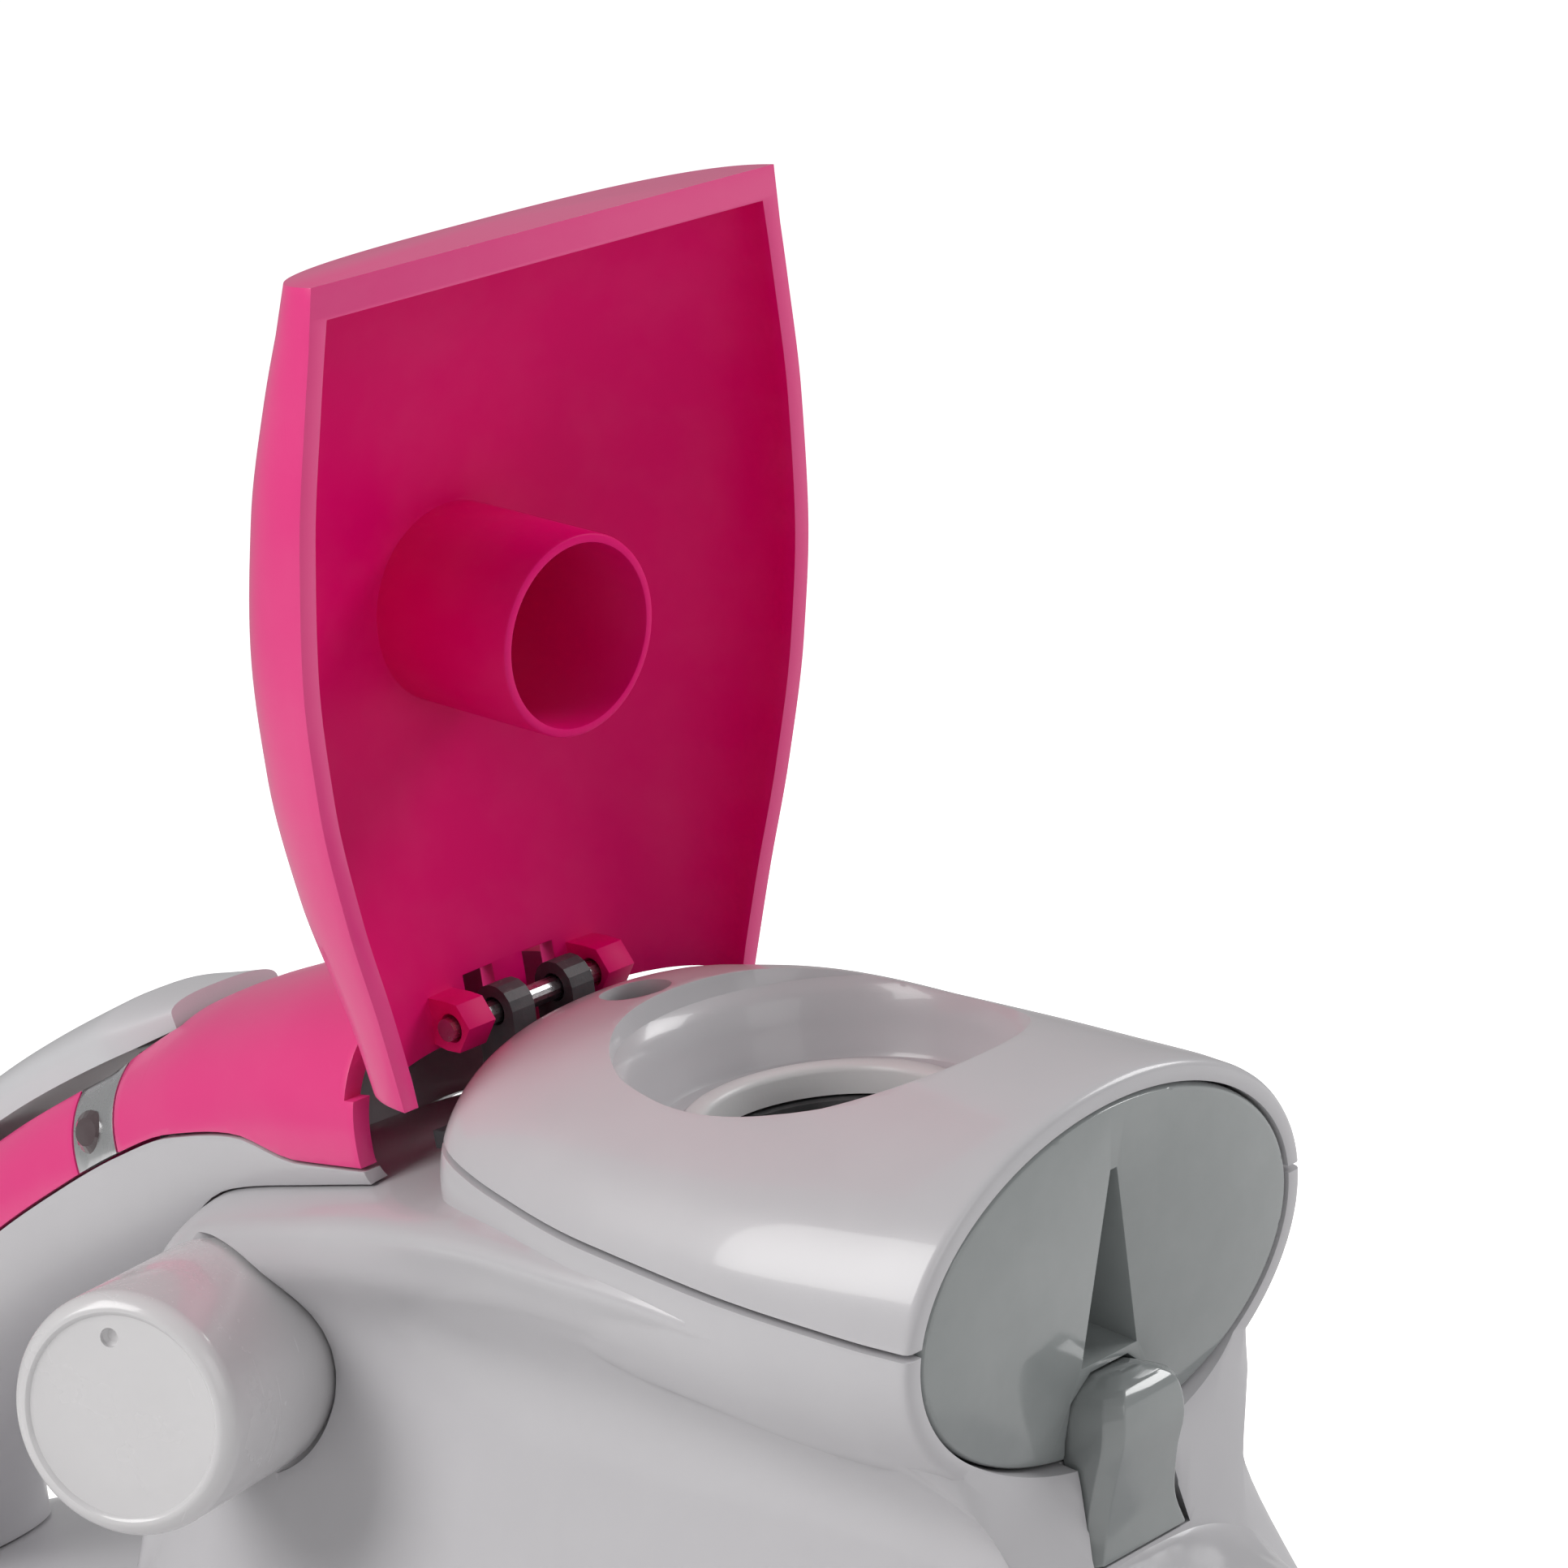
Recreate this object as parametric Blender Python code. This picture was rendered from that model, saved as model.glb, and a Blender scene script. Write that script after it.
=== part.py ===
"""Steam iron with a hinged filling lid, modelled as an assembly of separate pieces.

Metres, +Z up, +X towards the nose. The origin is on the resting plane, under the middle of the
soleplate. Sizes below are in millimetres and become metres when a piece is made.
"""
import math

import bmesh
import bpy
from mathutils import Matrix, Vector

MM = 0.001

# ---- overall sizes ----
BASE_LENGTH = 300.0
BASE_WIDTH = 120.0
HINGE_HEIGHT = 131.0
NOSE_TO_HINGE = 138.0
HINGE_TO_PILLAR = 58.0

# ---- clearances and walls ----
GAP = 0.35
RUN_GAP = 0.6
SHELL_WALL = 2.4
DOME_WALL = 2.2
HANDLE_WALL = 2.2
LID_WALL = 2.2

# ---- stack under the body ----
SOLE_THICK = 5.0
CASTING_HEIGHT = 13.0
COVER_THICK = 2.0
SHIELD_TOP = 24.0
SHIELD_WALL = 2.6
SHIELD_INSET = 2.0
CASTING_INSET = 8.0
BODY_INSET = 1.2

# ---- lid ----
LID_OPEN_ANGLE = 78.0
LID_CLOSED_ANGLE = -6.0
LID_RIM_DROP = 7.7
LID_LENGTH = 88.6
LID_LIP = 1.9
LID_FRONT_RAKE = 1.8
LID_REACH = 43.7
PLUG_RADIUS = 11.2
PLUG_WALL = 1.0
PLUG_DROP = 9.4
LUG_SPACING = 10.8
LUG_WIDTH = 4.0
PIN_RADIUS = 1.3
ARM_WIDTH = 3.4
ARM_OFFSET = 6.2

# ---- barrel and filling recess ----
HINGE_TO_FACE = 79.0
FACE_CENTRE_DROP = 26.6
FACE_TILT = 14.0
FACE_HALF_WIDTH = 28.8
FACE_HALF_HEIGHT = 19.2
FACE_RIM = 2.5
RECESS_RADIUS = 22.0
RECESS_FLOOR_RADIUS = 19.0
RECESS_DEPTH = 8.6
FILL_RADIUS = 13.2
COLLAR_RADIUS = 16.0
VENT_REACH = 16.2
VENT_RADIUS = 4.0
NECK_FOOT = 97.0
TANK_WALL = 1.6

# ---- temperature dial ----
DIAL_RADIUS = 13.8
DIAL_LENGTH = 27.5
DIAL_AXIS = Vector((0.38, -0.92, 0.08)).normalized()
DIAL_FACE = Vector((-22.5, -50.5, -33.6))
SHAFT_RADIUS = 3.0
SWITCH_GAP = 5.0
SWITCH_RADIUS = 8.5
SWITCH_THICK = 6.0

# ---- steam lever and pump ----
LEVER_FRONT = -39.0
LEVER_REAR = -108.0
LEVER_HALF_WIDTH = 11.5
LEVER_THICK = 4.6
LEVER_SINK = 1.4
LEVER_FRONT_GAP = 1.6
PLUNGER_STATION = -50.0
PLUNGER_RADIUS = 2.6
PUMP_RADIUS = 6.0

# ---- lamp in the handle band ----
LAMP_STATION = -50.0
LAMP_LIFT = 6.5
LAMP_RADIUS = 2.6
LAMP_AXIS = (0.1, -1.0, 0.3)

NOSE_X = BASE_LENGTH / 2
HEEL_X = -BASE_LENGTH / 2
HINGE_X = NOSE_X - NOSE_TO_HINGE
PILLAR_X = HINGE_X - HINGE_TO_PILLAR
BODY_FOOT = SHIELD_TOP + GAP
HINGE = Vector((HINGE_X, 0.0, HINGE_HEIGHT))
GLAND_Z = BODY_FOOT + 9.0
SWITCH_DEPTH = DIAL_LENGTH + SWITCH_GAP
VALVE_X = NOSE_X - 112.0
THERMOSTAT_X = HEEL_X + 72.0
FACE_X = HINGE_X + HINGE_TO_FACE
FACE_Z = HINGE_HEIGHT - FACE_CENTRE_DROP

# Nominal landmarks that the tables of sections below are written for.
NOMINAL_X = (-150.0, -46.0, 12.0, 150.0)
NOMINAL_FOOT = 24.35
NOMINAL_HINGE = 131.0

FINISHES = {
    "pink": ((0.80, 0.03, 0.22), 0.35, 0.0),
    "light_grey": ((0.62, 0.62, 0.62), 0.28, 0.0),
    "pale_grey": ((0.72, 0.73, 0.73), 0.32, 0.0),
    "smoke": ((0.26, 0.29, 0.29), 0.15, 0.0),
    "dark_grey": ((0.07, 0.07, 0.08), 0.45, 0.0),
    "silver": ((0.75, 0.76, 0.77), 0.22, 1.0),
    "steel": ((0.60, 0.60, 0.61), 0.28, 1.0),
    "aluminium": ((0.66, 0.67, 0.68), 0.35, 1.0),
    "brass": ((0.72, 0.53, 0.24), 0.30, 1.0),
    "rubber": ((0.03, 0.03, 0.03), 0.70, 0.0),
    "board": ((0.02, 0.16, 0.07), 0.45, 0.0),
}


# ---- curves and landmarks ----

def smooth_value(points, x):
    """Read a smooth curve through (x, value) points, held flat past its ends."""
    if x <= points[0][0]:
        return points[0][1]
    if x >= points[-1][0]:
        return points[-1][1]
    last = len(points) - 1
    k = max(i for i in range(last) if points[i][0] <= x)
    (x0, v0), (x1, v1) = points[k], points[k + 1]
    span = x1 - x0
    slope = (v1 - v0) / span
    before = (v0 - points[k - 1][1]) / (x0 - points[k - 1][0]) if k else slope
    after = (points[k + 2][1] - v1) / (points[k + 2][0] - x1) if k + 2 <= last else slope
    m0 = 0.0 if before * slope <= 0 else 2 * before * slope / (before + slope)
    m1 = 0.0 if after * slope <= 0 else 2 * after * slope / (after + slope)
    t = (x - x0) / span
    return (v0 * (1 + 2 * t) * (1 - t) ** 2 + m0 * span * t * (1 - t) ** 2
            + v1 * t * t * (3 - 2 * t) + m1 * span * t * t * (t - 1))


def along(x):
    """Carry a nominal length position to the real landmarks: heel, pillar, hinge and nose."""
    real = (HEEL_X, PILLAR_X, HINGE_X, NOSE_X)
    for k in range(3):
        if x <= NOMINAL_X[k + 1] or k == 2:
            share = (x - NOMINAL_X[k]) / (NOMINAL_X[k + 1] - NOMINAL_X[k])
            return real[k] + share * (real[k + 1] - real[k])
    return x


def rise(z):
    """Carry a nominal height to the real one, between the foot of the body and the hinge."""
    share = (z - NOMINAL_FOOT) / (NOMINAL_HINGE - NOMINAL_FOOT)
    return BODY_FOOT + share * (HINGE_HEIGHT - BODY_FOOT)


def steepened(x, lean):
    """A lean in degrees, steeper or flatter as the iron's height and length change round a station."""
    up = rise(NOMINAL_HINGE) - rise(NOMINAL_HINGE - 1.0)
    forward = along(x + 0.5) - along(x - 0.5)
    return math.degrees(math.atan(math.tan(math.radians(lean)) * up / forward))


def tilted(point, angle, reach, side, lift):
    """A point measured from `point` along, across and above a plane tilted nose-up by `angle`."""
    a = math.radians(angle)
    return Vector((point.x + reach * math.cos(a) - lift * math.sin(a), point.y + side,
                   point.z + reach * math.sin(a) + lift * math.cos(a)))


def lid_point(reach, side, lift):
    """A point of the lid, in its open position."""
    return tilted(HINGE, LID_OPEN_ANGLE, reach, side, lift)


def deck_point(reach, side, lift):
    """A point of the deck, on the plane where the lid comes to lie."""
    return tilted(HINGE, LID_CLOSED_ANGLE, reach, side, lift)


def sole_half(x):
    """Half width of the soleplate: an ogive nose, full width past the middle, rounded heel."""
    back = (NOSE_X - x) / BASE_LENGTH
    back = min(max(back, 0.0), 1.0)
    full = BASE_WIDTH / 2
    if back < 0.62:
        return full * math.sin(math.pi / 2 * back / 0.62) ** 0.72
    narrow = full * (1 - 0.13 * ((back - 0.62) / 0.38) ** 2)
    if back <= 0.90:
        return narrow
    return narrow * max(1 - ((back - 0.90) / 0.10) ** 2.6, 0.0) ** 0.5


# ---- meshes ----

def fresh_object(name, bm):
    """Put a closed mesh, built in millimetres, into the scene."""
    bmesh.ops.recalc_face_normals(bm, faces=bm.faces)
    bmesh.ops.scale(bm, vec=(MM, MM, MM), verts=bm.verts)
    mesh = bpy.data.meshes.new(name)
    bm.to_mesh(mesh)
    bm.free()
    obj = bpy.data.objects.new(name, mesh)
    bpy.context.scene.collection.objects.link(obj)
    return obj


def loft(name, rings):
    """A closed solid through rings that all have the same number of points."""
    bm = bmesh.new()
    loops = [[bm.verts.new(p) for p in ring] for ring in rings]
    count = len(loops[0])
    for one, two in zip(loops, loops[1:]):
        for k in range(count):
            n = (k + 1) % count
            bm.faces.new((one[k], one[n], two[n], two[k]))
    bm.faces.new(loops[0])
    bm.faces.new(loops[-1])
    return fresh_object(name, bm)


def prism(name, outline, low, high):
    """An upright solid from a flat outline of (x, y) points."""
    return loft(name, [[(x, y, z) for x, y in outline] for z in (low, high)])


def wall_prism(name, outline, left, right):
    """A solid from an outline of (x, z) points, drawn across the iron from `left` to `right`."""
    return loft(name, [[(x, y, z) for x, z in outline] for y in (left, right)])


def box(name, low, high):
    """A plain block between two corners."""
    outline = ((low[0], low[1]), (high[0], low[1]), (high[0], high[1]), (low[0], high[1]))
    return prism(name, outline, low[2], high[2])


def axis_frame(direction):
    """Two unit vectors square to a direction."""
    d = Vector(direction).normalized()
    helper = Vector((0, 0, 1)) if abs(d.z) < 0.9 else Vector((1, 0, 0))
    across = d.cross(helper).normalized()
    return across, d.cross(across).normalized()


def circle(centre, direction, radius, count):
    """Points round a circle."""
    across, other = axis_frame(direction)
    steps = [2 * math.pi * k / count for k in range(count)]
    return [Vector(centre) + radius * (math.cos(a) * across + math.sin(a) * other) for a in steps]


def turned(name, start, direction, profile, count=32, ring=False):
    """A turned solid from (radius, distance) points; with `ring` the profile closes on itself."""
    d = Vector(direction).normalized()
    rings = [circle(Vector(start) + d * h, d, r, count) for r, h in profile]
    if not ring:
        return loft(name, rings)
    bm = bmesh.new()
    loops = [[bm.verts.new(p) for p in points] for points in rings]
    for i, one in enumerate(loops):
        two = loops[(i + 1) % len(loops)]
        for k in range(count):
            n = (k + 1) % count
            bm.faces.new((one[k], one[n], two[n], two[k]))
    return fresh_object(name, bm)


def rod(name, start, end, radius, count=20):
    """A plain round bar between two points."""
    run = Vector(end) - Vector(start)
    return turned(name, start, run, ((radius, 0.0), (radius, run.length)), count)


def swept(name, points, radius, count=8):
    """A round bar that follows a line of points."""
    points = [Vector(p) for p in points]
    rings = []
    across = None
    for k, p in enumerate(points):
        run = (points[min(k + 1, len(points) - 1)] - points[max(k - 1, 0)]).normalized()
        if across is None:
            across = axis_frame(run)[0]
        across = (across - run * across.dot(run)).normalized()
        other = run.cross(across)
        steps = [2 * math.pi * i / count for i in range(count)]
        rings.append([p + radius * (math.cos(a) * across + math.sin(a) * other) for a in steps])
    return loft(name, rings)


def combine(target, tool, operation):
    """Apply a Boolean between two objects and drop the tool."""
    modifier = target.modifiers.new(operation, "BOOLEAN")
    modifier.operation = operation
    modifier.solver = "EXACT"
    modifier.object = tool
    graph = bpy.context.evaluated_depsgraph_get()
    mesh = bpy.data.meshes.new_from_object(target.evaluated_get(graph))
    target.modifiers.clear()
    target.data = mesh
    bpy.data.objects.remove(tool)
    return target


def cut(target, tool):
    return combine(target, tool, "DIFFERENCE")


def join(target, tool):
    return combine(target, tool, "UNION")


def keep(target, tool):
    return combine(target, tool, "INTERSECT")


def copy_of(obj, name):
    """A second object with its own mesh."""
    twin = bpy.data.objects.new(name, obj.data.copy())
    bpy.context.scene.collection.objects.link(twin)
    return twin


def finish(obj, name, finish_name, origin=(0.0, 0.0, 0.0), sharp=35.0):
    """Name a piece, give it its material, shade it and set its origin."""
    obj.name = name
    obj.data.name = name
    colour, roughness, metallic = FINISHES[finish_name]
    material = bpy.data.materials.new(name + "_" + finish_name)
    material.use_nodes = True
    shader = material.node_tree.nodes["Principled BSDF"]
    shader.inputs["Base Color"].default_value = (*colour, 1.0)
    shader.inputs["Roughness"].default_value = roughness
    shader.inputs["Metallic"].default_value = metallic
    obj.data.materials.clear()
    obj.data.materials.append(material)
    place = Vector(origin) * MM
    obj.data.transform(Matrix.Translation(-place))
    obj.location = place
    obj.data.shade_smooth()
    obj.data.set_sharp_from_angle(angle=math.radians(sharp))
    return obj


# ---- soleplate and steam parts ----

def sole_outline(inset, start=None, end=None, half_count=26):
    """The soleplate's outline, moved inwards by `inset`, from heel to nose and back."""
    start = HEEL_X + inset if start is None else start
    end = NOSE_X - inset * 1.8 if end is None else end
    xs = [start + (end - start) * 0.5 * (1 - math.cos(math.pi * k / half_count))
          for k in range(half_count + 1)]
    right = [(x, -max(sole_half(x) - inset, 0.9)) for x in xs]
    return right + [(x, -y) for x, y in reversed(right)]


def soleplate():
    plate = loft("plate", [[(x, y, z) for x, y in sole_outline(inset, half_count=30)]
                           for inset, z in ((1.2, 0.0), (0.0, 1.2), (0.0, SOLE_THICK))])
    for reach, side in ((28, 0), (46, 12), (66, 20), (90, 27), (118, 31), (150, 33), (66, 0), (104, 0)):
        for y in ((side, -side) if side else (0,)):
            x = NOSE_X - reach
            cut(plate, rod("vent", (x, y, -1), (x, y, SOLE_THICK + 1), 1.5, 8))
    return finish(plate, "soleplate", "steel")


def element_path():
    """The heating element: up one side, round the nose and down the other side."""
    inset = CASTING_INSET + 9.0
    rear = HEEL_X + 34.0
    front = NOSE_X - 52.0
    z = SOLE_THICK + GAP + CASTING_HEIGHT / 2
    xs = [rear + (front - rear) * k / 8 for k in range(9)]
    right = [Vector((x, -(sole_half(x) - inset), z)) for x in xs]
    bend = Vector((front + 9.0, -4.0, z))
    left = [Vector((p.x, -p.y, p.z)) for p in reversed(right)]
    return right + [bend, Vector((bend.x, -bend.y, z))] + left


def steam_casting():
    low = SOLE_THICK + GAP
    casting = prism("casting", sole_outline(CASTING_INSET), low, low + CASTING_HEIGHT)
    path = element_path()
    back = Vector((-40.0, 0.0, 0.0))
    tunnel = swept("tunnel", [path[0] + back] + path + [path[-1] + back], 4.2)
    cut(casting, tunnel)
    pocket_front = NOSE_X - 92.0
    pocket = box("pocket", (pocket_front - 70, -17, low + 4), (pocket_front, 17, low + 40))
    cut(casting, pocket)
    for k in range(4):
        x = pocket_front - 10 - 16 * k
        cut(casting, rod("port", (x, 0, 0), (x, 0, low + 8), 2.0, 8))
    finish(casting, "steam_casting", "aluminium")
    element = swept("element", [path[0] + Vector((-12, 0, 0))] + path + [path[-1] + Vector((-12, 0, 0))], 3.4)
    finish(element, "heating_element", "steel")
    top = low + CASTING_HEIGHT + GAP
    cover = box("cover", (pocket_front - 78, -24, top), (pocket_front + 8, 24, top + COVER_THICK))
    cut(cover, rod("inlet", (pocket_front - 20, 0, top - 1), (pocket_front - 20, 0, top + 9), 3.4, 16))
    finish(cover, "chamber_cover", "aluminium")
    return top + COVER_THICK


def thermostat():
    low = SOLE_THICK + GAP + CASTING_HEIGHT + GAP
    cup = turned("cup", (THERMOSTAT_X, 0, low), (0, 0, 1), ((9, 0), (9, 2.4), (5, 2.4), (5, 14), (3, 16)), 24)
    return finish(cup, "thermostat", "brass")


def heat_shield():
    low = SOLE_THICK + 1.6
    shield = prism("shield", sole_outline(SHIELD_INSET), low, SHIELD_TOP)
    hollow = prism("hollow", sole_outline(SHIELD_INSET + SHIELD_WALL), low - 1, SHIELD_TOP - 1.6)
    cut(shield, hollow)
    for x in (THERMOSTAT_X, VALVE_X):
        cut(shield, rod("shield_hole", (x, 0, 10), (x, 0, 40), 6.5, 20))
    return finish(shield, "heat_shield", "dark_grey")


# ---- body ----

# Each row: position; flare height and its share of the way from scoop to base width; scoop height and
# half width; rib height and half width; crown height and half width; top height.
BODY_ROWS = (
    (-147.5, 30.0, 0.92, 36.0, 30.0, 40.0, 24.0, 42.5, 14.0, 43.0),
    (-140.0, 33.0, 0.86, 41.0, 37.0, 44.0, 29.0, 45.6, 16.0, 46.0),
    (-120.0, 34.0, 0.80, 43.0, 41.0, 46.0, 32.0, 47.5, 18.0, 48.0),
    (-90.0, 34.0, 0.78, 43.0, 42.0, 47.0, 33.0, 48.6, 18.0, 49.0),
    (-62.0, 36.0, 0.75, 45.0, 40.0, 49.0, 30.0, 51.5, 18.0, 52.0),
    (-52.0, 38.0, 0.70, 52.0, 34.0, 60.0, 24.0, 65.0, 14.0, 67.0),
    (-46.0, 40.0, 0.66, 62.0, 29.0, 80.0, 21.0, 88.0, 15.0, 91.0),
    (-38.0, 42.0, 0.62, 76.0, 25.5, 97.0, 24.5, 104.0, 18.0, 106.0),
    (-24.0, 44.0, 0.58, 86.0, 24.4, 105.0, 27.5, 111.5, 21.0, 113.0),
    (-8.0, 45.0, 0.55, 90.0, 24.0, 108.0, 29.0, 113.5, 23.5, 115.0),
    (10.0, 46.0, 0.52, 91.0, 24.0, 109.0, 30.0, 115.0, 25.5, 117.0),
    (28.0, 48.0, 0.52, 91.0, 24.2, 109.0, 32.0, 116.0, 30.0, 119.0),
    (48.0, 50.0, 0.54, 89.0, 24.0, 107.0, 33.0, 114.0, 31.0, 117.0),
    (66.0, 52.0, 0.58, 86.0, 22.6, 103.0, 32.0, 110.0, 31.0, 112.0),
    (80.0, 52.0, 0.60, 82.0, 20.6, 97.0, 29.0, 103.0, 28.0, 106.0),
    (87.5, 51.0, 0.62, 77.0, 19.0, 87.0, 22.0, 93.0, 20.0, 95.0),
    (89.0, 50.0, 0.64, 68.0, 18.5, 72.0, 14.0, 74.0, 8.0, 74.5),
    (98.0, 47.0, 0.66, 62.0, 19.0, 68.0, 12.0, 70.5, 6.5, 71.0),
    (112.0, 42.0, 0.70, 55.0, 17.5, 61.5, 10.5, 64.0, 5.5, 65.0),
    (126.0, 36.0, 0.75, 45.0, 13.5, 50.5, 8.5, 53.5, 4.5, 54.5),
    (137.0, 31.0, 0.80, 36.5, 9.0, 41.0, 6.0, 43.2, 3.2, 44.0),
    (144.0, 27.5, 0.86, 31.0, 5.4, 33.6, 3.6, 35.0, 2.0, 35.5),
    (148.4, 25.2, 0.92, 26.2, 2.2, 27.2, 1.5, 27.8, 0.8, 28.0),
)


def body_keys(row):
    """Half width against height on one side of a body section, bottom to top."""
    x, flare_z, flare, scoop_z, scoop, rib_z, rib, crown_z, crown, top_z = row
    base = max(sole_half(along(x)) - BODY_INSET, 1.8)
    scoop = min(scoop, base * 0.9)
    return ((base, BODY_FOOT), (scoop + flare * (base - scoop), rise(flare_z)), (scoop, rise(scoop_z)),
            (rib, rise(rib_z)), (crown, rise(crown_z)), (0.0, rise(top_z)))


def body_ring(row, inset, floor, steps=3):
    """A closed body section; `inset` thins it for the hollow and `floor` is its lowest height."""
    keys = body_keys(row)
    side = []
    for k in range(len(keys) - 1):
        before = keys[max(k - 1, 0)]
        after = keys[min(k + 2, len(keys) - 1)]
        for i in range(steps):
            t = i / steps
            side.append(spline_point(before, keys[k], keys[k + 1], after, t))
    side.append(keys[-1])
    x = along(row[0])
    low = [(max(w - inset, 0.4), z - inset * (k / (len(side) - 1)) ** 0.5) for k, (w, z) in enumerate(side)]
    low[0] = (low[0][0], floor)
    low[-1] = (0.0, low[-1][1])
    right = [(x, -w, z) for w, z in low]
    return right + [(x, w, z) for w, z in reversed(low[:-1])]


def spline_point(p0, p1, p2, p3, t):
    """A point between p1 and p2 on a smooth curve through four points."""
    values = []
    for a, b, c, d in zip(p0, p1, p2, p3):
        m0 = (c - a) / 2
        m1 = (d - b) / 2
        values.append((2 * t ** 3 - 3 * t * t + 1) * b + (t ** 3 - 2 * t * t + t) * m0
                      + (3 * t * t - 2 * t ** 3) * c + (t ** 3 - t * t) * m1)
    return tuple(values)


def seam_outline(offset, above=True):
    """The side view of the space on one side of the seam between dome and body."""
    line = ((8.0, 124.6), (40.0, 118.0), (66.0, 112.2), (80.0, 109.0), (100.0, 104.6))
    points = [(along(x), rise(z) + offset) for x, z in line]
    front = NOSE_X + 60
    edge = HINGE_HEIGHT + 90 if above else HINGE_HEIGHT - 60
    return points + [(front, points[-1][1]), (front, edge), (points[0][0], edge)]


def lower_barrel():
    """The part of the barrel below the seam, which is one piece with the body."""
    lower = barrel("lower_barrel", 0.0, 0.0)
    return keep(lower, wall_prism("body_space", seam_outline(-GAP, above=False), -80, 80))


def body_shell():
    shell = loft("body", [body_ring(row, 0.0, BODY_FOOT) for row in BODY_ROWS])
    cut(shell, wall_prism("dome_space", seam_outline(-GAP), -80, 80))
    join(shell, lower_barrel())
    inner_rows = [inner_row(k) for k in range(1, len(BODY_ROWS) - 2)]
    cut(shell, loft("hollow", [body_ring(row, SHELL_WALL, BODY_FOOT - 5) for row in inner_rows]))
    cut(shell, barrel_hollow())
    cut(shell, window_block(GAP))
    cut(shell, rod("dial_well", dial_point(-DIAL_LENGTH + 1.5), dial_point(20), DIAL_RADIUS + RUN_GAP, 36))
    cut(shell, rod("shaft_hole", dial_point(-SWITCH_DEPTH - 3), dial_point(0), SHAFT_RADIUS + RUN_GAP, 16))
    cut(shell, rod("switch_room", dial_point(-DIAL_LENGTH - 14), dial_point(-SWITCH_DEPTH + GAP),
                   SWITCH_RADIUS + GAP, 24))
    cut(shell, rod("gland_hole", (HEEL_X - 8, 0, GLAND_Z), (HEEL_X + 16, 0, GLAND_Z), 6.2, 24))
    return shell


def inner_row(k):
    """The row of the hollow at one station, kept a wall's thickness inside its neighbours."""
    row = list(BODY_ROWS[k])
    for column in range(3, 10):
        near = [BODY_ROWS[i][column] for i in (k - 1, k, k + 1)
                if abs(BODY_ROWS[i][0] - BODY_ROWS[k][0]) < 9.0]
        row[column] = min(near)
    return tuple(row)


# ---- barrel: dome, window, recess ----

BARREL_TOP = ((17.0, 127.6), (18.6, 130.0), (21.5, 131.6), (27.0, 132.3), (34.0, 132.3), (55.0, 129.9),
              (75.0, 127.3), (91.0, 125.45))
BARREL_HALF = ((17.0, 21.5), (18.6, 24.0), (21.5, 26.4), (27.0, 28.8), (34.0, 30.8), (50.0, 33.6),
               (66.0, 34.0), (82.0, 32.6), (91.0, 31.3))
BARREL_LOW = ((17.0, 100.0), (50.0, 92.0), (78.0, 85.5), (91.0, 83.35))
BARREL_STATIONS = (17.0, 18.6, 21.5, 26.0, 32.0, 40.0, 50.0, 60.0, 70.0, 80.0, 86.0)


def barrel_lean(x):
    """How far the barrel's section leans nose-down at a station, up to its leaning front."""
    share = min(max((x - 52.0) / 39.0, 0.0), 1.0)
    return -FACE_TILT * share * share * (3 - 2 * share)


def barrel_ring(x, inset, count=40):
    """A section of the barrel, flatter on top than an ellipse at the back."""
    lean = barrel_lean(x)
    top = rise(smooth_value(BARREL_TOP, x))
    low = rise(smooth_value(BARREL_LOW, x))
    half = smooth_value(BARREL_HALF, x) - inset
    tall = (top - low) / 2 / math.cos(math.radians(lean)) - inset
    power = 2.35 - 0.3 * min(max(x - 40.0, 0.0) / 51.0, 1.0)
    return superellipse(Vector((along(x), 0, (top + low) / 2)), lean, half, tall, tall, power, count)


def superellipse(centre, tilt, half, up, down, power, count):
    """A ring across the iron, tilted nose-up by `tilt`, squarer as `power` grows."""
    ring = []
    for k in range(count):
        a = 2 * math.pi * (k + 0.5) / count
        c, s = math.cos(a), math.sin(a)
        side = half * math.copysign(abs(c) ** (2 / power), c)
        lift = (up if s > 0 else down) * math.copysign(abs(s) ** (2 / power), s)
        ring.append(tilted(centre, tilt, 0.0, side, lift))
    return ring


def face_ring(forward, grow, count=40):
    """An ellipse on the barrel's leaning front plane."""
    centre = tilted(Vector((FACE_X, 0, FACE_Z)), -FACE_TILT, forward, 0, 0)
    return superellipse(centre, -FACE_TILT, FACE_HALF_WIDTH + grow, FACE_HALF_HEIGHT + grow,
                        FACE_HALF_HEIGHT + grow, 2.0, count)


def barrel(name, inset, front):
    """The barrel's solid: lofted sections, then its leaning oval front."""
    rings = [barrel_ring(x, inset) for x in BARREL_STATIONS]
    return loft(name, rings + [face_ring(front, FACE_RIM - inset)])


def recess_centre(lift):
    return deck_point(LID_REACH, 0, lift)


def deck_normal():
    return deck_point(0, 0, 1) - deck_point(0, 0, 0)


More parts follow.
